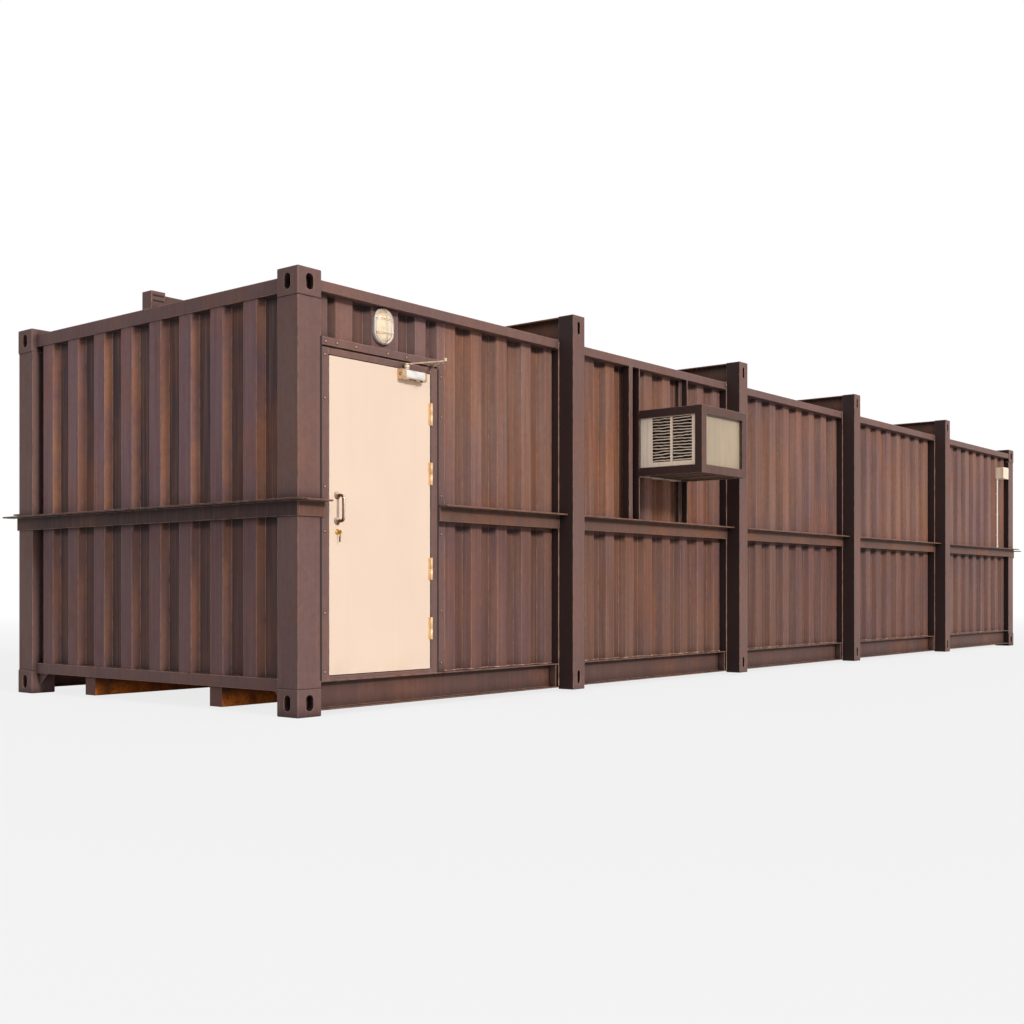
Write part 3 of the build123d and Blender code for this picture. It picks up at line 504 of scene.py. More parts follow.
plastics = {
    "cooler_cream": {"body": paint(255, 240, 222), "shade": paint(248, 228, 208),
                     "grimeAndShade": paint(170, 134, 104), "grimeShare": 0.3, "roughness": 0.5,
                     "edgeRadius": 0.003},
    "cooler_panel": {"body": paint(186, 168, 144), "shade": paint(174, 157, 135),
                     "grimeAndShade": paint(140, 116, 92), "grimeShare": 0.3, "roughness": 0.55,
                     "edgeRadius": 0.003},
    "dark_inside": {"body": paint(30, 24, 22), "shade": paint(44, 32, 26), "grimeAndShade": paint(120, 72, 38),
                    "grimeShare": 0.5, "roughness": 0.8, "edgeRadius": 0.001},
    "cooler_tray_rust": {"body": paint(70, 54, 44), "shade": paint(96, 74, 56),
                         "grimeAndShade": paint(170, 136, 92), "grimeShare": 0.6, "roughness": 0.7,
                         "edgeRadius": 0.002},
    "dark_matte": {"body": paint(38, 26, 26), "shade": paint(50, 34, 33), "grimeAndShade": paint(80, 56, 50),
                  "grimeShare": 0.4, "roughness": 0.75, "edgeRadius": 0.001},
    "lamp_silver": {"body": paint(248, 244, 240), "shade": paint(234, 226, 220),
                    "grimeAndShade": paint(150, 126, 108), "grimeShare": 0.2, "roughness": 0.35,
                    "edgeRadius": 0.002},
    "box_cream": {"body": paint(255, 238, 216), "shade": paint(248, 226, 200),
                  "grimeAndShade": paint(184, 122, 72), "grimeShare": 0.4, "roughness": 0.45,
                  "edgeRadius": 0.004},
    "pipe_white": {"body": paint(255, 250, 242), "shade": paint(246, 236, 224),
                   "grimeAndShade": paint(176, 140, 108), "grimeShare": 0.2, "roughness": 0.4,
                   "edgeRadius": 0.002},
}
for name, look in plastics.items():
    finish[name] = plasticFinish(name, look)

lightLow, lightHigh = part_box("light_base")
glassLook = {
    "glass": paint(255, 240, 216), "warm": paint(244, 216, 176), "dirt": paint(150, 100, 52),
    "roughness": 0.18, "coat": 0.3, "coatRoughness": 0.08, "scatter": 0.25, "scatterDepth": 0.01,
    "ribs": 60.0, "ribWobble": 0.3, "ribBump": (0.1, 0.0008),
    "clouds": ((18, 18, 12), 4.0, 0.35, 0.65), "smears": ((45, 45, 20), 5.0, 0.5, 0.7, 2.0),
    "dirtFull": lightLow.z + 0.02, "dirtTo": (lightLow.z + lightHigh.z) / 2,
    "shadeFrom": lightHigh.z - 0.07, "shadeTo": lightHigh.z - 0.02, "shadeShare": 0.45,
}


def lampGlass(name, look):
    # frosted ribbed glass, dirty low down and shaded at the top
    material, tree, shader = newMaterial(name, roughness=look["roughness"], Coat_Weight=look["coat"],
                                         Coat_Roughness=look["coatRoughness"],
                                         Subsurface_Weight=look["scatter"],
                                         Subsurface_Scale=look["scatterDepth"])
    colour = blendColours(tree, grain(tree, *look["clouds"]), look["glass"], look["warm"])
    dirt = times(tree, grain(tree, *look["smears"]), heightMask(tree, look["dirtFull"], look["dirtTo"]))
    colour = blendColours(tree, dirt, colour, look["dirt"])
    upper = span(tree, ownAxis(tree, "Z"), look["shadeFrom"], look["shadeTo"], 0.0, look["shadeShare"])
    colour = blendColours(tree, upper, colour, look["dirt"])
    tree.links.new(colour, shader.inputs["Base Color"])
    ribs = addNode(tree, "ShaderNodeTexWave", {"Vector": ownPlace(tree), "Scale": look["ribs"],
                                               "Distortion": look["ribWobble"]}, bands_direction="X")
    bumpFrom(tree, shader, ribs.outputs["Fac"], *look["ribBump"])
    return material


finish["lamp_glass"] = lampGlass("lamp_glass", glassLook)


boardLook = {"roughness": 0.6, "stainShare": 0.5, "fibres": (5.0, 0.3, 0.7), "bump": (0.15, 0.0008),
             "stains": ((1.2, 1.2, 1.2), 3.0, 0.4, 0.7, 3.0)}


def boardFinish(name, look):
    material, tree, shader = newMaterial(name, roughness=look["roughness"])
    fibres = grain(tree, look["fibre"], *look["fibres"])
    colour = blendColours(tree, fibres, look["board"], look["shade"])
    colour = coat(tree, colour, grain(tree, *look["stains"]), look["stain"], look["stainShare"])
    tree.links.new(colour, shader.inputs["Base Color"])
    bumpFrom(tree, shader, fibres, *look["bump"])
    return material


boards = {
    "lining_board": {"board": paint(226, 218, 204), "shade": paint(216, 206, 190),
                     "stain": paint(206, 192, 172), "fibre": (60, 60, 3)},
    "floor_board": {"board": paint(150, 112, 76), "shade": paint(122, 86, 56),
                    "stain": paint(96, 72, 54), "fibre": (3, 60, 60)},
}
for name, look in boards.items():
    finish[name] = boardFinish(name, {**boardLook, **look})
print("board, plastic and glass finishes made")

nodesOfFinish = {
    "wall_steel": ("front_wall_bays", "rear_wall_bays"),
    "over_door_steel": ("front_wall_over_door",),
    "end_wall_steel": ("door_end_wall", "far_end_wall"),
    "roof_steel": ("roof_sheet", "roof_cross_beams", "roof_centre_beam"),
    "corner_steel": ("bottom_corner_castings", "top_corner_castings", "corner_posts",
                     "roof_beam_end_blocks"),
    "end_rail_steel": ("top_end_rails", "bottom_end_rails"),
    "frame_steel": ("side_top_rails", "door_jambs", "door_head", "door_sill", "door_header_plate",
                    "door_post", "closer_shoe"),
    "rail_steel": ("side_bottom_rails", "corner_gussets"),
    "post_steel": ("frame_studs", "frame_posts", "cooler_hangers"),
    "mid_rail_steel": ("front_mid_rails", "rear_mid_rails"),
    "end_mid_shaded_steel": ("end_mid_rails",),
    "cage_steel": ("cooler_cage",),
    "skid_rust": ("skid_beams",),
    "under_rust": ("floor_cross_members",),
    "floor_board": ("floor_deck",),
    "lining_board": ("front_lining", "front_lining_over_door", "rear_lining", "end_linings",
                     "ceiling_panel"),
    "door_paint": ("door_leaf",),
    "brass": ("hinge_frame_halves", "hinge_leaf_halves"),
    "stainless": ("pull_handle",),
    "lock_brass": ("door_lock", "door_key"),
    "closer_silver": ("closer_body",),
    "arm_bronze": ("closer_arm", "closer_forearm"),
    "lamp_silver": ("light_base",),
    "lamp_glass": ("light_glass",),
    "cooler_cream": ("cooler_unit",),
    "box_cream": ("junction_box",),
    "pipe_white": ("conduit",),
}
for name, nodeNames in nodesOfFinish.items():
    for nodeName in nodeNames:
        node = nodes[nodeName]
        node.data.materials.clear()
        node.data.materials.append(finish[name])


# Shapes

def addBlock(mesh, low, high, bevel=0.0, segments=2):
    # a block between two corners, with rounded edges
    centre = (Vector(low) + Vector(high)) / 2
    size = Vector(high) - Vector(low)
    matrix = Matrix.Translation(centre) @ Matrix.Diagonal((abs(size.x), abs(size.y), abs(size.z), 1))
    made = bmesh.ops.create_cube(mesh, size=1, matrix=matrix)
    if bevel:
        edges = dict.fromkeys(edge for vertex in made["verts"] for edge in vertex.link_edges)
        bmesh.ops.bevel(mesh, geom=list(edges), offset=bevel, segments=segments, profile=0.6,
                        affect="EDGES", clamp_overlap=True)


def ringAround(direction):
    # two directions square to the given one
    side = Vector((0, 0, 1)) if abs(direction.z) < 0.9 else Vector((1, 0, 0))
    across = direction.cross(side).normalized()
    return across, direction.cross(across).normalized()


def skinRings(mesh, rings, loop=False):
    # faces between rings of vertices that have the same count, with closed ends
    count = len(rings[0])
    pairs = list(zip(rings, rings[1:]))
    if loop:
        pairs.append((rings[-1], rings[0]))
    for first, second in pairs:
        for index in range(count):
            after = (index + 1) % count
            face = mesh.faces.new((first[index], first[after], second[after], second[index]))
            face.smooth = True
    if not loop:
        mesh.faces.new(list(reversed(rings[0])))
        mesh.faces.new(rings[-1])


def addRing(mesh, centre, across, second, radius, sides):
    ring = []
    for turn in range(sides):
        angle = 2 * math.pi * turn / sides
        offset = (across * math.cos(angle) + second * math.sin(angle)) * radius
        ring.append(mesh.verts.new(centre + offset))
    return ring


def addTube(mesh, points, radii, sides=10, loop=False):
    # a round bar that follows a list of points; radii is one radius, or one for each point
    points = [Vector(point) for point in points]
    if isinstance(radii, float):
        radii = [radii] * len(points)
    rings = []
    across = None
    for index, point in enumerate(points):
        before = points[index - 1] if index or loop else point
        after = points[(index + 1) % len(points)] if index + 1 < len(points) or loop else point
        direction = (after - before).normalized()
        if across is None:
            across = ringAround(direction)[0]
        across = (across - direction * across.dot(direction)).normalized()
        rings.append(addRing(mesh, point, across, direction.cross(across), radii[index], sides))
    skinRings(mesh, rings, loop=loop)


def addLathe(mesh, base, direction, profile, sides=24):
    # a turned shape: profile is (distance along the axis, radius)
    direction = Vector(direction).normalized()
    across, second = ringAround(direction)
    rings = [addRing(mesh, Vector(base) + direction * distance, across, second, max(radius, 0.0001), sides)
             for distance, radius in profile]
    skinRings(mesh, rings)


def arcPoints(centre, start, turnAxis, degrees, steps):
    # points on an arc that starts at one point and turns about an axis
    centre = Vector(centre)
    arm = Vector(start) - centre
    return [centre + Matrix.Rotation(math.radians(degrees * step / steps), 3, Vector(turnAxis)) @ arm
            for step in range(steps + 1)]


def finishMesh(mesh, name, finishName, body, replaced=(), smooth=False):
    # makes the piece, gives it its finish and hangs it on its body
    bmesh.ops.recalc_face_normals(mesh, faces=mesh.faces)
    data = bpy.data.meshes.new(name)
    if smooth:
        for face in mesh.faces:
            face.smooth = True
    mesh.to_mesh(data)
    mesh.free()
    data.materials.append(finish[finishName])
    piece = bpy.data.objects.new(name, data)
    bpy.context.scene.collection.objects.link(piece)
    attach(piece, body)
    if replaced:
        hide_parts(*replaced)


screwHead = {"sink": 0.001, "rim": 0.25, "steps": 4, "sides": 12}


def addScrew(mesh, point, direction, radius, height):
    # a domed screw head
    rim = screwHead["rim"]
    profile = [(-screwHead["sink"], radius), (height * rim, radius)]
    for step in range(1, screwHead["steps"] + 1):
        angle = math.pi / 2 * step / screwHead["steps"]
        profile.append((height * (rim + (1 - rim) * math.sin(angle)), radius * math.cos(angle)))
    addLathe(mesh, point, direction, profile, sides=screwHead["sides"])


def stationsOf(nodeName, gap=0.5):
    # middles along X of the separate solids of a node, and half their width
    xs = sorted({round(vertex.co.x, 4) for vertex in nodes[nodeName].data.vertices})
    groups = [[xs[0]]]
    for x in xs[1:]:
        if x - groups[-1][-1] > gap:
            groups.append([x])
        else:
            groups[-1].append(x)
    return [(group[0] + group[-1]) / 2 for group in groups], (groups[0][-1] - groups[0][0]) / 2


ringStations, ringHalf = stationsOf("frame_posts")

# Sheet over the door

doorPanel = {"ridges": ((0.178, 0.255), (0.350, 0.480), (0.640, 0.862), (1.018, 1.108), (1.215, 1.285)),
             "slope": 0.045, "ridgeIn": 0.070, "valleyIn": 0.106, "thickness": 0.004,
             "stripTo": 0.276, "stripOut": 0.008, "stripBevel": 0.001}
panelLow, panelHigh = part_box("front_wall_over_door")


def overDoorSheet():
    # the short sheet over the door, with wider folds than the bays
    line = []
    for start, end in doorPanel["ridges"]:
        line += [(start - doorPanel["slope"], doorPanel["valleyIn"]), (start, doorPanel["ridgeIn"]),
                 (end, doorPanel["ridgeIn"]), (end + doorPanel["slope"], doorPanel["valleyIn"])]
    mesh = bmesh.new()
    rings = []
    for along, inward in line[1:-1]:
        outer = place(along, -inward, panelLow.z)
        inner = place(along, -inward - doorPanel["thickness"], panelLow.z)
        rings.append([mesh.verts.new(point) for point in (
            outer, inner, (inner.x, inner.y, panelHigh.z), (outer.x, outer.y, panelHigh.z))])
    skinRings(mesh, rings)
    for face in mesh.faces:
        face.smooth = False
    finishMesh(mesh, "over_door_sheet", "over_door_steel", "cabin", ("front_wall_over_door",))


def overDoorStrip():
    # flat cover strip between the corner post and the first fold
    mesh = bmesh.new()
    face = frontY + doorPanel["ridgeIn"]
    addBlock(mesh, (panelLow.x, face - doorPanel["stripOut"], panelLow.z),
             (doorEndX + doorPanel["stripTo"], face, panelHigh.z), doorPanel["stripBevel"], 1)
    finishMesh(mesh, "over_door_strip", "frame_steel", "cabin")


overDoorSheet()
overDoorStrip()

# Welds

welds = {"radius": 0.0045, "thin": 0.003, "wobble": 0.0012, "step": 0.03, "sides": 6, "lift": 0.002,
         "wallGap": 0.2, "castingX": 0.172, "castingY": 0.179, "postClear": 0.01}


def addWeld(mesh, start, end, radius=welds["radius"]):
    # an uneven bead between two points
    start = Vector(start)
    end = Vector(end)
    count = max(2, int((end - start).length / welds["step"]))
    points = [start.lerp(end, step / count) for step in range(count + 1)]
    radii = [radius + draw.uniform(-1, 1) * welds["wobble"] for _ in points]
    addTube(mesh, points, radii, sides=welds["sides"])


def outerLine(nodeName, level, side):
    # the outer bends of a corrugated wall at its top or bottom edge, as (x, y)
    best = {}
    for vertex in nodes[nodeName].data.vertices:
        if abs(vertex.co.z - level) > 0.001:
            continue
        key = round(vertex.co.x, 4)
        if key not in best or side * vertex.co.y > side * best[key]:
            best[key] = vertex.co.y
    return sorted(best.items())


def overDoorWelds():
    mesh = bmesh.new()
    level = panelLow.z + welds["lift"]
    for start, end in doorPanel["ridges"]:
        addWeld(mesh, place(start, -doorPanel["ridgeIn"], level), place(end, -doorPanel["ridgeIn"], level),
                welds["thin"])
    finishMesh(mesh, "over_door_welds", "weld_steel", "cabin", smooth=True)


def wallWelds(name, nodeName, side):
    # beads where the folded sheet stands on the rail, but not over the gap where a stud stands
    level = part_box(nodeName)[0].z
    bead = level + welds["lift"]
    mesh = bmesh.new()
    line = outerLine(nodeName, level, side)
    for (x1, y1), (x2, y2) in zip(line, line[1:]):
        if x2 - x1 < welds["wallGap"]:
            addWeld(mesh, (x1, y1, bead), (x2, y2, bead))
    finishMesh(mesh, name, "weld_steel", "cabin", smooth=True)


def cornerWelds():
    # dark beads round each corner post where it meets its castings
    mesh = bmesh.new()
    postLow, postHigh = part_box("corner_posts")
    for x, inX in ((postLow.x, 1), (postHigh.x, -1)):
        for y, inY in ((postLow.y, 1), (postHigh.y, -1)):
            for level in (postLow.z, postHigh.z):
                addWeld(mesh, (x, y, level), (x + inX * welds["castingX"], y, level), welds["thin"])
                addWeld(mesh, (x, y, level), (x, y + inY * welds["castingY"], level), welds["thin"])
    finishMesh(mesh, "corner_welds", "dark_matte", "cabin", smooth=True)


def postWelds():
    # upright beads in the corners between each outer post and its stud
    mesh = bmesh.new()
    studLow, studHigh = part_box("frame_studs")
    foot = studLow.z + welds["postClear"]
    head = studHigh.z - welds["postClear"]
    for station in ringStations:
        for y in (studLow.y, studHigh.y):
            for x in (station - ringHalf, station + ringHalf):
                addWeld(mesh, (x, y, foot), (x, y, head))
    finishMesh(mesh, "post_welds", "weld_steel", "cabin", smooth=True)


overDoorWelds()
wallWelds("front_wall_welds", "front_wall_bays", -1)
wallWelds("rear_wall_welds", "rear_wall_bays", 1)
cornerWelds()
print("welds laid")

# Small plates and slots of the frame

railPlates = {"thickness": 0.008, "reach": 0.06, "bevel": 0.001, "bottomGap": 0.022, "bottomIn": 0.001,
              "bottomDown": 0.002, "topGap": 0.004, "topLip": 0.006}


def railEndPlates():
    # upright plates that close the bottom channels and the top rails beside the studs
    mesh = bmesh.new()
    studLow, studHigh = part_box("frame_studs")
    studReach = (studHigh.x - studLow.x - (ringStations[-1] - ringStations[0])) / 2
    plate = railPlates["thickness"]
    reach = railPlates["reach"]
    lip = railPlates["topLip"]
    rails = (  # a rail's box, the gap to the stud, and how far the plate passes the rail out and up
        (*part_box("side_bottom_rails"), railPlates["bottomGap"], -railPlates["bottomIn"],
         -railPlates["bottomDown"]),
        (*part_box("side_top_rails"), railPlates["topGap"], lip, lip))
    for station in ringStations:
        for way in (-1, 1):
            for low, high, gap, out, up in rails:
                x = station + way * (studReach + gap)
                x1 = min(x, x + way * plate)
                for y1, y2 in ((low.y - out, low.y + reach), (high.y - reach, high.y + out)):
                    addBlock(mesh, (x1, y1, low.z - up), (x1 + plate, y2, high.z + up),
                             railPlates["bevel"], 1)
    finishMesh(mesh, "rail_end_plates", "rail_steel", "cabin")


endSlots = {"down": (0.028, 0.062), "half": 0.006, "wide": 0.8, "proud": 0.001, "sink": 0.002,
            "bevel": 0.0005}


def endBlockSlots():
    # two dark blocks in each side face of the blocks at the ends of the roof beam, painted shade standing in
    # for the slots
    mesh = bmesh.new()
    middles, half = stationsOf("roof_beam_end_blocks")
    low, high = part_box("roof_beam_end_blocks")
    reach = half * endSlots["wide"]
    for x in middles:
        for y, way in ((low.y, -1), (high.y, 1)):
            y1, y2 = sorted((y - way * endSlots["sink"], y + way * endSlots["proud"]))
            for down in endSlots["down"]:
                z = high.z - down
                addBlock(mesh, (x - reach, y1, z - endSlots["half"]), (x + reach, y2, z + endSlots["half"]),
                         endSlots["bevel"], 1)
    finishMesh(mesh, "end_block_slots", "dark_inside", "cabin")


railEndPlates()
postWelds()
endBlockSlots()
print("frame plates and slots made")

# Door frame

sealsAndGapShade = {"width": 0.014, "proud": 0.0015, "deep": 0.01, "bevel": 0.001,
         "leafGap": (0.0015, 0.0075), "leafProud": 0.0008, "leafDeep": 0.004,
         "topFrom": 0.0008, "topIn": 0.001, "topPast": 0.004}


def doorSealsAndGapShade():
    # dark mastic between the corner post and the door frame, a dark strip beside the right jamb as painted
    # shade of the recess there, and dark fills in the gaps round the leaf as painted shade of the gaps
    mesh = bmesh.new()
    jambLow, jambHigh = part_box("door_jambs")
    headerLow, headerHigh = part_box("door_header_plate")
    leafLow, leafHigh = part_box("door_leaf")
    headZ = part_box("door_head")[0].z
    half = sealsAndGapShade["width"] / 2
    y1 = wallFace - sealsAndGapShade["proud"]
    y2 = wallFace + sealsAndGapShade["deep"]
    for x, top in ((jambLow.x, headerHigh.z), (jambHigh.x, headerLow.z)):
        addBlock(mesh, (x - half, y1, jambLow.z), (x + half, y2, top), sealsAndGapShade["bevel"])
    gapFrom, gapTo = sealsAndGapShade["leafGap"]
    addBlock(mesh, (leafHigh.x + gapFrom, wallFace - sealsAndGapShade["leafProud"], leafLow.z),
             (leafHigh.x + gapTo, wallFace + sealsAndGapShade["leafDeep"], headZ))
    addBlock(mesh, (leafLow.x, wallFace + sealsAndGapShade["topIn"], leafHigh.z + sealsAndGapShade["topFrom"]),
             (leafHigh.x + sealsAndGapShade["topPast"], y2, headZ))
    finishMesh(mesh, "door_seals_and_gap_shade", "dark_matte", "cabin")


frameScrews = {"radius": 0.0075, "height": 0.004, "headOut": 0.001,
               "washer": ((-0.001, 0.0098), (0.0008, 0.0098), (0.0012, 0.006)), "washerSides": 16,
               "header": (0.215, 0.301, 0.451, 0.715, 0.874, 1.158), "headerUp": 2.186,
               "leftJamb": (2.109, 1.855, 1.337, 1.077, 0.60, 0.255), "leftAlong": 0.207,
               "rightStrip": (2.12, 1.86, 1.346, 1.098, 0.60, 0.261), "rightAlong": 1.253, "stripIn": 0.07}


def doorFrameScrews():
    # pale heads, each on a dark washer
    stripFace = frontY + frameScrews["stripIn"]
    points = [(place(along, 0, frameScrews["headerUp"]), wallFace) for along in frameScrews["header"]]
    points += [(place(frameScrews["leftAlong"], 0, up), wallFace) for up in frameScrews["leftJamb"]]
    points += [(place(frameScrews["rightAlong"], 0, up), stripFace) for up in frameScrews["rightStrip"]]
    heads = bmesh.new()
    washers = bmesh.new()
    for point, face in points:
        addScrew(heads, (point.x, face - frameScrews["headOut"], point.z), (0, -1, 0), frameScrews["radius"],
                 frameScrews["height"])
        addLathe(washers, (point.x, face, point.z), (0, -1, 0), frameScrews["washer"],
                 sides=frameScrews["washerSides"])
    finishMesh(washers, "door_frame_washers", "dark_matte", "cabin")
    finishMesh(heads, "door_frame_screws", "screw_heads", "cabin")


doorSealsAndGapShade()
doorFrameScrews()

# Hinges

hinges = {"heights": (0.490, 0.869, 1.474, 1.853), "length": 0.142, "radius": 0.0085, "pinIn": 0.008,
          "halfGap": 0.0004, "endRound": 0.0012, "endShare": 0.7, "sides": 20,
          "plateFrom": 0.5, "plateTo": 0.021, "plateThickness": 0.003, "plateBevel": 0.0008,
          "plateSink": 0.001, "screwsAt": (-0.05, 0.0, 0.05), "screwIn": 0.004, "screwRadius": 0.003,
          "screwHeight": 0.001}


def hingeHalves(name, body, toward, finishName, replaced):
    # half a knuckle and a narrow plate for each hinge; the halves meet at the middle
    mesh = bmesh.new()
    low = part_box("hinge_frame_halves")[0]
    pinX = low.x + hinges["pinIn"]
    pinY = low.y + hinges["pinIn"]
    radius = hinges["radius"]
    half = hinges["length"] / 2
    tall = half - 2 * hinges["halfGap"]
    endRound = hinges["endRound"]
    endRadius = radius * hinges["endShare"]
    knuckle = [(0, endRadius), (endRound, radius), (tall - endRound, radius), (tall, endRadius)]
    x1, x2 = sorted((pinX + toward * radius * hinges["plateFrom"], pinX + toward * hinges["plateTo"]))
    plateY = wallFace - hinges["plateThickness"]
    screwX = pinX + toward * (hinges["plateTo"] - hinges["screwIn"])
    for height in hinges["heights"]:
        base = height - half if toward > 0 else height + hinges["halfGap"]
        addLathe(mesh, (pinX, pinY, base), (0, 0, 1), knuckle, sides=hinges["sides"])
        addBlock(mesh, (x1, plateY, height - half), (x2, wallFace + hinges["plateSink"], height + half),
                 hinges["plateBevel"], 1)
        for offset in hinges["screwsAt"]:
            addScrew(mesh, (screwX, plateY, height + offset), (0, -1, 0), hinges["screwRadius"],
                     hinges["screwHeight"])
    finishMesh(mesh, name, finishName, body, replaced)


hingeHalves("hinge_frame_plates", "cabin", 1, "brass", ("hinge_frame_halves",))
hingeHalves("hinge_leaf_plates", "door", -1, "brass_worn", ("hinge_leaf_halves",))

# Handle and lock

handle = {"barRadius": 0.0096, "barSides": 20, "bend": 0.022, "bendSteps": 8, "out": 0.008,
          "footUp": 0.025, "topDown": 0.029, "roseRadius": 0.0235, "roseSides": 32, "collarOut": 0.015,
          "rose": ((0, 1), (0.002, 1), (0.0035, 0.97), (0.0078, 0.72), (0.013, 0.5))}  # out, share of radius


def pullHandle():
    # round bar with two bends, on two domed roses
    mesh = bmesh.new()
    low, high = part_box("pull_handle")
    x = (low.x + high.x) / 2
    radius = handle["barRadius"]
    bend = handle["bend"]
    gripY = low.y + radius - handle["out"]
    lowZ = low.z + handle["footUp"]
    highZ = high.z - handle["topDown"]
    lower = arcPoints((x, gripY + bend, lowZ + bend), (x, gripY + bend, lowZ), (1, 0, 0), -90,
                      handle["bendSteps"])
    upper = arcPoints((x, gripY + bend, highZ - bend), (x, gripY, highZ - bend), (1, 0, 0), -90,
                      handle["bendSteps"])
    path = [Vector((x, wallFace, lowZ))] + lower + upper + [Vector((x, wallFace, highZ))]
    addTube(mesh, path, radius, sides=handle["barSides"])
    rose = [(out, share * handle["roseRadius"]) for out, share in handle["rose"]]
    for z in (lowZ, highZ):
        addLathe(mesh, (x, wallFace, z), (0, -1, 0), rose + [(handle["collarOut"], radius)],
                 sides=handle["roseSides"])
    finishMesh(mesh, "door_handle", "handle_steel", "door", ("pull_handle",), True)


lock = {
    "cylinder": ((0, 0.0165), (0.003, 0.0165), (0.005, 0.014), (0.0055, 0.0105), (0.014, 0.0095),
                 (0.0145, 0.0085), (0.0145, 0.001)),
    "cylinderSides": 28, "bowOut": 0.0275, "bowLeft": 0.002, "bowSides": 24,
    "bow": ((0, 0.009), (0.0008, 0.0115), (0.0032, 0.0115), (0.004, 0.009)),
    "keyOut": 0.0145, "shank": (0.001, 0.006, 0.004),          # half width, length, half height
    "shankBevel": 0.0004,
    "ringOut": 0.010, "ringDown": 0.018, "ringReach": (0.003, 0.008, 0.010), "ringWire": 0.0016,
    "ringPoints": 18, "ringSides": 6,
    "tagHalf": 0.0015, "tagOut": (0.014, 0.002), "tagDown": (0.060, 0.026), "tagBevel": 0.0012,
}


def lockAndKey():
    # escutcheon, cylinder and key bow, then the key's shank with a ring and a tag that hang from it
    low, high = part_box("door_lock")
    x = (low.x + high.x) / 2
    z = (low.z + high.z) / 2
    mesh = bmesh.new()
    addLathe(mesh, (x, wallFace, z), (0, -1, 0), lock["cylinder"], sides=lock["cylinderSides"])
    addLathe(mesh, (x - lock["bowLeft"], wallFace - lock["bowOut"], z), (1, 0, 0), lock["bow"],
             sides=lock["bowSides"])
    finishMesh(mesh, "lock_cylinder", "lock_brass", "door", ("door_lock",), True)
    mesh = bmesh.new()
    keyY = wallFace - lock["keyOut"]
    wide, long, tall = lock["shank"]
    addBlock(mesh, (x - wide, keyY - long, z - tall), (x + wide, keyY, z + tall), lock["shankBevel"])
    reachX, reachY, reachZ = lock["ringReach"]
    ring = []
    for turn in range(lock["ringPoints"]):
        angle = 2 * math.pi * turn / lock["ringPoints"]
        ring.append((x + reachX * math.sin(angle), keyY - lock["ringOut"] + reachY * math.sin(angle),
                     z - lock["ringDown"] - reachZ * math.cos(angle)))
    addTube(mesh, ring, lock["ringWire"], sides=lock["ringSides"], loop=True)
    half = lock["tagHalf"]
    (outFar, outNear), (downFar, downNear) = lock["tagOut"], lock["tagDown"]
    addBlock(mesh, (x - half, keyY - outFar, z - downFar), (x + half, keyY - outNear, z - downNear),
             lock["tagBevel"])
    finishMesh(mesh, "key_and_ring", "key_bronze", "door", ("door_key",))


pullHandle()
lockAndKey()
print("door furniture made")

# Closer

closer = {
    "lift": 0.01, "height": 0.065, "round": 0.018, "leftCap": 0.03, "rightCap": 0.015,
    "caseIn": 0.001, "caseFoot": 0.006, "capFoot": 0.003, "innerRound": 0.001, "roundSteps": 5,
    "plateIn": 0.006, "plateHeight": 0.007, "plateBevel": 0.002, "screwRadius": 0.007, "screwHeight": 0.002,
    "hub": ((-0.002, 0.0105), (0.0008, 0.0105), (0.001, 0.007), (-0.001, 0.006)), "hubSides": 20,
    "marks": (0.34, 0.5, 0.78), "markHalf": 0.013, "markOut": (0.003, 0.012), "markUp": (-0.001, 0.006),
    "spindle": ((0, 0.019), (0.003, 0.019), (0.006, 0.0135), (0.009, 0.0135), (0.013, 0.0185),
                (0.024, 0.0185), (0.030, 0.0135), (0.0305, 0.0079), (0.039, 0.0079), (0.0392, 0.003)),
    "spindleSides": 28,
}
jointAt = {joint["name"]: joint["pos_m"] for joint in frame["record"]["behaviour"]["joints"]}
armPivot = jointAt["closer_arm_pivot"][:2]
shoePivot = jointAt["closer_forearm_pivot"][:2]


def roundedSection(y1, y2, z1, z2):
    # a rectangle in Y and Z, well rounded on its outer side, as (y, z) points
    outer = closer["round"]
    inner = closer["innerRound"]
    steps = closer["roundSteps"]
    points = []
    for cy, cz, radius, start in ((y1 + outer, z1 + outer, outer, 180), (y2 - inner, z1 + inner, inner, 270),
                                  (y2 - inner, z2 - inner, inner, 0), (y1 + outer, z2 - outer, outer, 90)):
        for step in range(steps + 1):
            angle = math.radians(start + 90 * step / steps)
            points.append((cy + radius * math.cos(angle), cz + radius * math.sin(angle)))
    return points


def addExtrusion(mesh, x1, x2, section):
    rings = [[mesh.verts.new((x, y, z)) for y, z in section] for x in (x1, x2)]
    count = len(section)
    for index in range(count):
        after = (index + 1) % count
        mesh.faces.new((rings[0][index], rings[0][after], rings[1][after], rings[1][index]))
    mesh.faces.new(list(reversed(rings[0])))
    mesh.faces.new(rings[1])


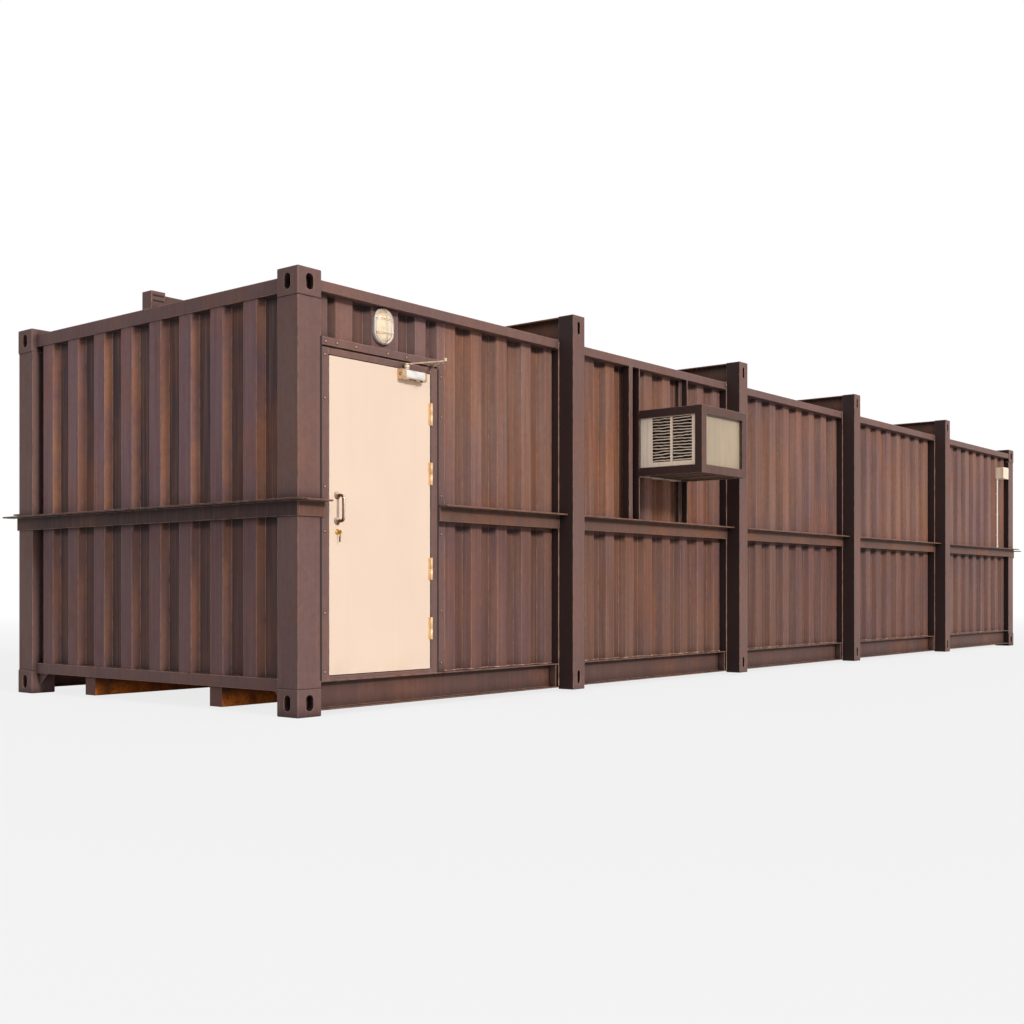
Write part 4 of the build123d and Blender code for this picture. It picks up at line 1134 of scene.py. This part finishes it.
def closerBody():
    bodyLow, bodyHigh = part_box("closer_body")
    low = bodyLow.z + closer["lift"]
    high = low + closer["height"]
    x1 = bodyLow.x
    x2 = bodyHigh.x
    outY = bodyLow.y
    middle = ((outY + wallFace) / 2, (low + high) / 2)
    caseFrom = x1 + closer["leftCap"]
    caseTo = x2 - closer["rightCap"]
    mesh = bmesh.new()
    addExtrusion(mesh, caseFrom, caseTo,
                 roundedSection(outY + closer["caseIn"], wallFace, low + closer["caseFoot"],
                                high - closer["caseIn"]))
    finishMesh(mesh, "closer_case", "closer_silver", "door", ("closer_body",))
    mesh = bmesh.new()
    section = roundedSection(outY, wallFace, low + closer["capFoot"], high)
    addExtrusion(mesh, x1, caseFrom, section)
    addExtrusion(mesh, caseTo, x2, section)
    inset = closer["plateIn"]
    addBlock(mesh, (x1 + inset, outY + inset, low), (x2 - inset, wallFace, low + closer["plateHeight"]),
             closer["plateBevel"])
    addScrew(mesh, (x2, *middle), (1, 0, 0), closer["screwRadius"], closer["screwHeight"])
    finishMesh(mesh, "closer_caps", "closer_cap", "door")
    mesh = bmesh.new()                       # dark hub ring on the left end and marks under the case
    addLathe(mesh, (x1, *middle), (-1, 0, 0), closer["hub"], sides=closer["hubSides"])
    (outFar, outNear), (down, up) = closer["markOut"], closer["markUp"]
    for share in closer["marks"]:
        x = x1 + (x2 - x1) * share
        addBlock(mesh, (x - closer["markHalf"], outY + outFar, low + down),
                 (x + closer["markHalf"], outY + outNear, low + up), closer["plateBevel"])
    finishMesh(mesh, "closer_marks", "dark_inside", "door")
    mesh = bmesh.new()
    addLathe(mesh, (*armPivot, high), (0, 0, 1), closer["spindle"], sides=closer["spindleSides"])
    finishMesh(mesh, "closer_spindle", "arm_bronze", "door", smooth=True)


arms = {
    "elbow": (0.925, 0.28), "inside": 0.004, "steps": 8, "sides": 14, "rodRadii": (0.0058, 0.0044),
    "hub": ((0, 0.009), (0.001, 0.0135), (0.007, 0.0135), (0.0078, 0.011)), "hubSides": 24,
    "ballRadius": 0.0105, "ballUp": 0.006, "ballFoot": 0.004, "linkRadius": 0.0042,
    "eyeRadii": (0.0065, 0.0095), "eyeSides": 20,
    "eye": ((0, -0.002), (0.001, 0), (0.007, 0), (0.008, -0.002)),       # height, change of radius
}


def closerArms():
    # thin tapered rods with a ball at the elbow and a hub on the spindle
    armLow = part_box("closer_arm")[0]
    forearmLow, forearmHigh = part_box("closer_forearm")
    elbow = place(*arms["elbow"], 0)
    steps = arms["steps"]
    shares = [step / steps for step in range(steps + 1)]
    thick, thin = arms["rodRadii"]
    level = armLow.z + arms["inside"]
    start = Vector((*armPivot, level))
    tip = Vector((elbow.x, elbow.y, level))
    mesh = bmesh.new()
    addTube(mesh, [start.lerp(tip, share) for share in shares],
            [thick + (thin - thick) * share for share in shares], sides=arms["sides"])
    addLathe(mesh, (start.x, start.y, armLow.z), (0, 0, 1), arms["hub"], sides=arms["hubSides"])
    ball = arms["ballRadius"]
    profile = [(max(arms["ballUp"] - ball * math.cos(math.pi * share), 0), ball * math.sin(math.pi * share))
               for share in shares]
    addLathe(mesh, (tip.x, tip.y, level - arms["ballFoot"]), (0, 0, 1), profile, sides=arms["eyeSides"])
    finishMesh(mesh, "closer_rod", "arm_bronze", "closer_arm", ("closer_arm",), True)
    level = forearmHigh.z - arms["inside"]
    start = Vector((*shoePivot, level))
    tip = Vector((elbow.x, elbow.y, level))
    mesh = bmesh.new()
    addTube(mesh, [start.lerp(tip, share) for share in shares], arms["linkRadius"], sides=arms["sides"])
    for point, radius in zip((start, tip), arms["eyeRadii"]):
        addLathe(mesh, (point.x, point.y, forearmLow.z), (0, 0, 1),
                 [(along, radius + change) for along, change in arms["eye"]], sides=arms["eyeSides"])
    finishMesh(mesh, "closer_link", "arm_bronze", "closer_forearm", ("closer_forearm",), True)


closerBody()
closerArms()
print("closer made")

# Bulkhead light

light = {
    "sides": 56, "slim": 0.004, "rimDepth": 0.03, "rimWidth": 0.014,
    "rim": ((0.004, 0), (0.002, 0.004), (0.003, 0.0135), (0.0, 0.015), (0.0, 0.026), (0.004, 0.03),
            (0.011, 0.03), (0.014, 0.025)),          # inset from the outline, distance out from the wall
    "glassOut": 0.048, "glassSteps": 7, "glassSeat": (0.001, 0.008), "glassFrom": 0.004,
    "wire": 0.0019, "wireSides": 8, "guardOut": 0.059, "hoops": (2.401, 2.315), "hoopSteps": 14,
    "hoopCurve": 0.55, "uprightSteps": 24, "uprightCurve": 0.5, "uprightIn": 0.005, "uprightOut": 0.001,
    "wireIn": 0.006, "edgeOut": 0.002, "edgeWire": 1.1, "screwIn": 0.012, "screwSize": 0.006,
}


def ovalPoint(centre, halfX, halfZ, angle, out):
    # a point on an upright outline with straight sides and round ends
    straight = halfZ - halfX
    x = math.cos(angle) * halfX
    z = math.sin(angle) * halfX + math.copysign(straight, math.sin(angle))
    return Vector((centre.x + x, centre.y - out, centre.z + z))


def oval(centre, halfX, halfZ, inset, out):
    return [ovalPoint(centre, halfX - inset, halfZ - inset, 2 * math.pi * turn / light["sides"], out)
            for turn in range(light["sides"])]


def addOvalLoft(mesh, centre, halfX, halfZ, profile):
    # profile is (inset from the outline, distance out from the wall)
    skinRings(mesh, [[mesh.verts.new(point) for point in oval(centre, halfX, halfZ, inset, out)]
                     for inset, out in profile])


def bulgeOver(start, end, bulge, steps, curve):
    # points of a wire that bulges outward, toward -Y, from one point of the rim to another
    middle = (start + end) / 2
    reach = (start - end) / 2
    points = []
    for step in range(steps + 1):
        angle = math.pi * step / steps
        out = Vector((0, bulge * math.sin(angle) ** curve, 0))
        points.append(middle + reach * math.cos(angle) - out)
    return points


def bulkheadLight():
    middle = (lightLow + lightHigh) / 2
    centre = Vector((middle.x, lightHigh.y, middle.z))
    halfX = (lightHigh.x - lightLow.x) / 2 - light["slim"]
    halfZ = (lightHigh.z - lightLow.z) / 2
    rim = light["rimDepth"]
    width = light["rimWidth"]
    mesh = bmesh.new()
    addOvalLoft(mesh, centre, halfX, halfZ, light["rim"])
    finishMesh(mesh, "light_rim", "lamp_silver", "cabin", ("light_base",))
    seatOut, seatDown = light["glassSeat"]
    foot = light["glassFrom"]
    profile = [(width - seatOut, rim - seatDown)]
    for step in range(light["glassSteps"] + 1):
        angle = math.pi / 2 * step / light["glassSteps"]
        profile.append((width + (halfX - width - foot) * (1 - math.cos(angle)),
                        rim - foot + (light["glassOut"] + foot - rim) * math.sin(angle)))
    mesh = bmesh.new()
    addOvalLoft(mesh, centre, halfX, halfZ, profile)
    finishMesh(mesh, "light_dome", "lamp_glass", "cabin", ("light_glass",), True)
    bulge = light["guardOut"] - rim
    wireIn = light["wireIn"]
    rimY = centre.y - rim
    mesh = bmesh.new()
    for z in light["hoops"]:
        pastStraight = max(0, abs(z - centre.z) - (halfZ - halfX))
        reach = math.sqrt(halfX ** 2 - pastStraight ** 2) - wireIn
        hoop = bulgeOver(Vector((centre.x - reach, rimY, z)), Vector((centre.x + reach, rimY, z)), bulge,
                         light["hoopSteps"], light["hoopCurve"])
        addTube(mesh, hoop, light["wire"], sides=light["wireSides"])
    tall = Vector((0, 0, halfZ - light["uprightIn"]))
    foot = Vector((centre.x, rimY, centre.z))
    upright = bulgeOver(foot - tall, foot + tall, bulge + light["uprightOut"], light["uprightSteps"],
                        light["uprightCurve"])
    addTube(mesh, upright, light["wire"], sides=light["wireSides"])
    edge = oval(centre, halfX, halfZ, wireIn, rim + light["edgeOut"])
    addTube(mesh, edge, light["wire"] * light["edgeWire"], sides=light["wireSides"], loop=True)
    for z in (centre.z - halfZ + light["screwIn"], centre.z + halfZ - light["screwIn"]):
        addScrew(mesh, (centre.x, centre.y - rim, z), (0, -1, 0), light["screwSize"], light["screwSize"])
    finishMesh(mesh, "light_guard", "guard_wire", "cabin", smooth=True)


bulkheadLight()
print("light made")

# Cooler

cooler = {
    "panel": 0.004, "panelBevel": 0.0008, "wallIn": -0.006, "columns": ((0.106, 0.272), (0.290, 0.468)),
    "slotLow": 1.728, "slotHigh": 2.072, "barProud": 0.002, "barDeep": 0.012,
    "slats": 15, "slatTilt": (0.3, 0.9), "slatLean": 0.004, "slatBends": 6, "slatWave": 0.0022,
    "slatDeep": (0.001, 0.014), "slatDrop": 0.20, "slatRise": 0.22, "slatThin": 0.0022, "slatThick": 0.0065,
    "slatLap": 0.001,
    "sideGap": 0.004, "plate": 0.004, "bevel": 0.001, "trayRibs": (0.2, 0.5, 0.8), "ribHalf": 0.012,
    "ribEnd": 0.01, "ribDown": 0.004, "ribUp": 0.002,
    "coreSide": 0.045, "coreFront": 0.02, "coreEnds": 0.01, "coreBevel": 0.004,
    "innerLeft": 0.047, "innerRight": 0.009, "innerBack": 0.006, "innerBevel": 0.003,
    "frameWide": 0.03, "frameDeep": 0.01, "frameBevel": 0.002,
    "vanes": 14, "vaneHalf": 0.005, "vaneDeep": (0.008, 0.001),
}
unitLow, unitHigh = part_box("cooler_unit")


def coolerSide(name, faceX, inward):
    # a side panel with two columns of uneven louvres; inward is the way into the box along X
    mesh = bmesh.new()
    columns = cooler["columns"]
    slotLow = cooler["slotLow"]
    slotHigh = cooler["slotHigh"]

    def panel(out1, out2, z1, z2, proud=0.0, thickness=cooler["panel"]):
        x1, x2 = sorted((faceX - inward * proud, faceX + inward * thickness))
        addBlock(mesh, (x1, frontY - out2, z1), (x2, frontY - out1, z2), cooler["panelBevel"], 1)

    (first, second), (third, last) = columns
    panel(cooler["wallIn"], first, unitLow.z, unitHigh.z)
    panel(second, third, slotLow, slotHigh, cooler["barProud"], cooler["barDeep"])
    panel(last, frontY - unitLow.y, unitLow.z, unitHigh.z)
    panel(first, last, unitLow.z, slotLow)
    panel(first, last, slotHigh, unitHigh.z)
    pitch = (slotHigh - slotLow) / cooler["slats"]
    outer, inner = cooler["slatDeep"]
    drop = pitch * cooler["slatDrop"]
    lap = cooler["slatLap"]
    for out1, out2 in columns:
        for count in range(cooler["slats"]):
            z = slotLow + pitch * (count + 0.5)
            rise = pitch * cooler["slatRise"] * draw.uniform(*cooler["slatTilt"])
            lean = draw.uniform(-cooler["slatLean"], cooler["slatLean"])
            rings = []
            for step in range(cooler["slatBends"] + 1):
                share = step / cooler["slatBends"]
                y = frontY - (out1 - lap + (out2 - out1 + 2 * lap) * share)
                bent = z + lean * (2 * share - 1) + draw.uniform(-1, 1) * cooler["slatWave"]
                corners = ((outer, -drop), (inner, rise), (inner, rise + cooler["slatThin"]),
                           (outer, cooler["slatThick"] - drop))
                rings.append([mesh.verts.new((faceX + inward * deep, y, bent + up)) for deep, up in corners])
            skinRings(mesh, rings)
    finishMesh(mesh, name, "cooler_cream", "cabin")


def coolerBox():
    # blank front and top, rusty tray, and a dark core inside as painted shade of the interior behind the
    # louvres
    gap = cooler["sideGap"]
    plate = cooler["plate"]
    bevel = cooler["bevel"]
    x1 = unitLow.x + gap
    x2 = unitHigh.x - gap
    y1 = unitLow.y
    lowZ = unitLow.z
    highZ = unitHigh.z
    mesh = bmesh.new()
    addBlock(mesh, (x1, y1, lowZ), (x2, y1 + plate, highZ), bevel)
    addBlock(mesh, (x1, y1 + plate, highZ - plate), (x2, wallFace, highZ), bevel)
    finishMesh(mesh, "cooler_case", "cooler_panel", "cabin", ("cooler_unit",))
    mesh = bmesh.new()
    addBlock(mesh, (x1, y1 + plate, lowZ), (x2, wallFace, lowZ + plate), bevel)
    for share in cooler["trayRibs"]:
        x = unitLow.x + (unitHigh.x - unitLow.x) * share
        addBlock(mesh, (x - cooler["ribHalf"], y1 + cooler["ribEnd"], lowZ - cooler["ribDown"]),
                 (x + cooler["ribHalf"], wallFace - cooler["ribEnd"], lowZ + cooler["ribUp"]), bevel, 1)
    finishMesh(mesh, "cooler_tray", "cooler_tray_rust", "cabin")
    mesh = bmesh.new()
    side = cooler["coreSide"]
    ends = cooler["coreEnds"]
    addBlock(mesh, (unitLow.x + side, y1 + cooler["coreFront"], lowZ + ends),
             (unitHigh.x - side, wallFace - bevel, highZ - ends), cooler["coreBevel"])
    finishMesh(mesh, "cooler_core", "dark_inside", "cabin")


def coolerInnerFace():
    # the box through the wall, with a frame and a row of vanes on the room's side
    lowZ = unitLow.z
    highZ = unitHigh.z
    roomY = unitHigh.y
    x1 = unitLow.x + cooler["innerLeft"]
    x2 = unitHigh.x - cooler["innerRight"]
    wide = cooler["frameWide"]
    mesh = bmesh.new()
    addBlock(mesh, (x1, wallFace, lowZ), (x2, roomY - cooler["innerBack"], highZ), cooler["innerBevel"])
    for (left, foot), (right, head) in (((x1, lowZ), (x1 + wide, highZ)), ((x2 - wide, lowZ), (x2, highZ)),
                                        ((x1, lowZ), (x2, lowZ + wide)), ((x1, highZ - wide), (x2, highZ))):
        addBlock(mesh, (left, roomY - cooler["frameDeep"], foot), (right, roomY, head), cooler["frameBevel"])
    deep, face = cooler["vaneDeep"]
    for index in range(cooler["vanes"]):
        z = lowZ + wide + (highZ - lowZ - 2 * wide) * (index + 0.5) / cooler["vanes"]
        addBlock(mesh, (x1 + wide, roomY - deep, z - cooler["vaneHalf"]),
                 (x2 - wide, roomY - face, z + cooler["vaneHalf"]), cooler["bevel"], 1)
    finishMesh(mesh, "cooler_inner_face", "cooler_cream", "cabin")


coolerSide("cooler_left_louvres", unitLow.x, 1)
coolerSide("cooler_right_louvres", unitHigh.x, -1)
coolerBox()
coolerInnerFace()
print("cooler made")

# Junction box and conduit

junction = {
    "lidDepth": 0.018, "lidGap": 0.002, "lidBevel": 0.008, "bodyIn": 0.003, "bodyBevel": 0.006,
    "segments": 3, "screwIn": 0.016, "screwRadius": 0.006, "screwHeight": 0.003,
    "gland": ((0, 0.014), (0.008, 0.014), (0.009, 0.011), (0.022, 0.010), (0.024, 0.004)),
    "glandIn": 0.002, "glandDown": 0.045, "glandSides": 18,
}


def junctionBox():
    low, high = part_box("junction_box")
    lid = junction["lidDepth"]
    inset = junction["bodyIn"]
    mesh = bmesh.new()
    addBlock(mesh, (low.x + inset, low.y + lid, low.z + inset), (high.x - inset, high.y, high.z - inset),
             junction["bodyBevel"], junction["segments"])
    addBlock(mesh, (low.x, low.y, low.z), (high.x, low.y + lid - junction["lidGap"], high.z),
             junction["lidBevel"], junction["segments"])
    corner = junction["screwIn"]
    for x in (low.x + corner, high.x - corner):
        for z in (low.z + corner, high.z - corner):
            addScrew(mesh, (x, low.y, z), (0, -1, 0), junction["screwRadius"], junction["screwHeight"])
    addLathe(mesh, (high.x - junction["glandIn"], (low.y + high.y) / 2, high.z - junction["glandDown"]),
             (1, 0, 0), junction["gland"], sides=junction["glandSides"])
    finishMesh(mesh, "junction_case", "box_cream", "cabin", ("junction_box",))


clips = {"heights": (1.45, 1.72, 1.99), "radius": 0.0125, "wire": 0.003, "wireSides": 6, "points": 18,
         "halfWide": 0.006, "halfTall": 0.008, "footFrom": 0.009, "wallIn": 0.07, "bevel": 0.001}


def conduitClips():
    # saddles that carry the conduit off the wall
    low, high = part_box("conduit")
    x = (low.x + high.x) / 2
    y = (low.y + high.y) / 2
    mesh = bmesh.new()
    for z in clips["heights"]:
        saddle = []
        for turn in range(clips["points"]):
            angle = 2 * math.pi * turn / clips["points"] - math.pi
            saddle.append((x + clips["radius"] * math.cos(angle), y + clips["radius"] * math.sin(angle), z))
        addTube(mesh, saddle, clips["wire"], sides=clips["wireSides"], loop=True)
        addBlock(mesh, (x - clips["halfWide"], y + clips["footFrom"], z - clips["halfTall"]),
                 (x + clips["halfWide"], frontY + clips["wallIn"], z + clips["halfTall"]), clips["bevel"], 1)
    finishMesh(mesh, "conduit_clips", "pipe_white", "cabin")


junctionBox()
conduitClips()
print("electrics made")

# Inside

lining = {"length": 1.22, "strip": 0.03, "proud": 0.004, "bevel": 0.001, "nearEnd": 0.1, "nearDoor": 0.05,
          "endShares": (1 / 3, 2 / 3), "endThickness": 0.015,
          "skirtHeight": 0.07, "skirtProud": 0.010, "skirtEnd": 0.016, "skirtBevel": 0.002,
          "floorLength": 2.44, "jointHalf": 0.015, "jointDown": 0.001, "jointUp": 0.002,
          "jointEnd": 0.01, "jointBevel": 0.0008}


def coverStrips():
    # strips over the joints of the lining boards, and a skirting
    mesh = bmesh.new()
    frontLow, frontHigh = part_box("front_lining")
    rearLow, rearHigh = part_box("rear_lining")
    endLow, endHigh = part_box("end_linings")
    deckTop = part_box("floor_deck")[1].z
    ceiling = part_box("ceiling_panel")[0].z
    proud = lining["proud"]
    half = lining["strip"] / 2
    bevel = lining["bevel"]
    for index in range(1, int((rearHigh.x - rearLow.x) / lining["length"]) + 1):
        x = rearLow.x + index * lining["length"]
        if x > rearHigh.x - lining["nearEnd"]:
            continue
        addBlock(mesh, (x - half, rearLow.y - proud, deckTop), (x + half, rearLow.y, ceiling), bevel, 1)
        if x > frontLow.x + lining["nearDoor"] and not unitLow.x - half < x < unitHigh.x + half:
            addBlock(mesh, (x - half, frontHigh.y, deckTop), (x + half, frontHigh.y + proud, ceiling),
                     bevel, 1)
    for x, way in ((endLow.x + lining["endThickness"], 1), (endHigh.x - lining["endThickness"], -1)):
        x1, x2 = sorted((x, x + way * proud))
        for share in lining["endShares"]:
            y = endLow.y + (endHigh.y - endLow.y) * share
            addBlock(mesh, (x1, y - half, deckTop), (x2, y + half, ceiling), bevel, 1)
    skirt = deckTop + lining["skirtHeight"]
    out = lining["skirtProud"]
    end = lining["skirtEnd"]
    addBlock(mesh, (rearLow.x + end, rearLow.y - out, deckTop), (rearHigh.x - end, rearLow.y, skirt),
             lining["skirtBevel"])
    addBlock(mesh, (frontLow.x, frontHigh.y, deckTop), (frontHigh.x - end, frontHigh.y + out, skirt),
             lining["skirtBevel"])
    finishMesh(mesh, "lining_strips", "lining_board", "cabin")


def floorJoints():
    # narrow metal joint strips between the floor sheets
    mesh = bmesh.new()
    deckLow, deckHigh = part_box("floor_deck")
    half = lining["jointHalf"]
    y1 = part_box("front_lining")[1].y + lining["jointEnd"]
    y2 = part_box("rear_lining")[0].y - lining["jointEnd"]
    for index in range(1, int((deckHigh.x - deckLow.x) / lining["floorLength"]) + 1):
        x = deckLow.x + index * lining["floorLength"]
        if x < deckHigh.x - lining["nearEnd"]:
            addBlock(mesh, (x - half, y1, deckHigh.z - lining["jointDown"]),
                     (x + half, y2, deckHigh.z + lining["jointUp"]), lining["jointBevel"], 1)
    finishMesh(mesh, "floor_joint_strips", "stainless", "cabin")


coverStrips()
floorJoints()
print("inside dressed")

# Stage, lights and camera

stage = {"floorSize": 120, "floorColour": (0.58, 0.58, 0.6, 1), "floorRoughness": 0.9, "floorShow": 0.8,
         "fadeFrom": 9, "fadeTo": 28, "worldColour": (0.94, 0.96, 1, 1), "worldStrength": 0.4,
         "sunColour": (1.0, 0.94, 0.87),
         "lights": {"key_light": (2.1, 10, (0.08, 0.88, -0.38)),       # strength, degrees wide, travel
                    "fill_light": (0.8, 40, (0.9, 0.2, -0.3))}}
white = {"Color": (1, 1, 1, 1), "Strength": 1.0}


def seenOutright(tree):
    # 1 for what the camera sees, and for what shows in gloss and through glass
    path = addNode(tree, "ShaderNodeLightPath")
    seen = reckon(tree, "MAXIMUM", path.outputs["Is Camera Ray"], path.outputs["Is Glossy Ray"])
    return reckon(tree, "MAXIMUM", seen, path.outputs["Is Transmission Ray"])


def mixInto(tree, output, factor, first, second):
    mix = addNode(tree, "ShaderNodeMixShader", {0: factor, 1: first, 2: second})
    tree.links.new(mix.outputs[0], tree.nodes[output].inputs["Surface"])


def floorMaterial():
    # pale floor that keeps the shadow and shows as white to the camera and in gloss
    material, tree, shader = newMaterial("studio_floor", roughness=stage["floorRoughness"],
                                         Base_Color=stage["floorColour"])
    glow = addNode(tree, "ShaderNodeEmission", white)
    away = addNode(tree, "ShaderNodeVectorMath", {0: ownPlace(tree)}, operation="LENGTH")
    show = span(tree, away.outputs["Value"], stage["fadeFrom"], stage["fadeTo"], stage["floorShow"], 1.0)
    factor = times(tree, seenOutright(tree), show)
    mixInto(tree, "Material Output", factor, shader.outputs[0], glow.outputs[0])
    return material


def buildStage():
    bpy.ops.mesh.primitive_plane_add(size=stage["floorSize"], location=(0, 0, 0))
    floor = bpy.context.object
    floor.name = "studio_floor"
    floor.data.materials.append(floorMaterial())
    world = bpy.data.worlds.new("studio_world")
    bpy.context.scene.world = world
    world.use_nodes = True
    tree = world.node_tree
    background = tree.nodes["Background"]
    background.inputs["Color"].default_value = stage["worldColour"]
    background.inputs["Strength"].default_value = stage["worldStrength"]
    backdrop = addNode(tree, "ShaderNodeBackground", white)
    mixInto(tree, "World Output", seenOutright(tree), background.outputs[0], backdrop.outputs[0])
    for name, (strength, degrees, travel) in stage["lights"].items():
        sun = bpy.data.lights.new(name, "SUN")
        sun.energy = strength
        sun.angle = math.radians(degrees)
        sun.color = stage["sunColour"]
        holder = bpy.data.objects.new(name, sun)
        holder.rotation_euler = Vector(travel).to_track_quat("-Z", "Y").to_euler()
        bpy.context.scene.collection.objects.link(holder)


view = {"lens": 44.40, "sensor": 36, "shiftX": -0.0531, "shiftY": 0.0766, "reach": 300,
        "place": (-10.836, -6.9275, 0.731), "turn": -52.12}


def buildCamera():
    # a level camera in front of the door end
    camera = bpy.data.cameras.new("camera")
    camera.lens = view["lens"]
    camera.sensor_width = view["sensor"]
    camera.shift_x = view["shiftX"]
    camera.shift_y = view["shiftY"]
    camera.clip_end = view["reach"]
    holder = bpy.data.objects.new("camera", camera)
    holder.location = view["place"]
    holder.rotation_euler = (math.radians(90), 0, math.radians(view["turn"]))
    bpy.context.scene.collection.objects.link(holder)
    bpy.context.scene.camera = holder


buildStage()
buildCamera()
bpy.context.scene.view_settings.view_transform = "Standard"
print("stage, light and camera set")
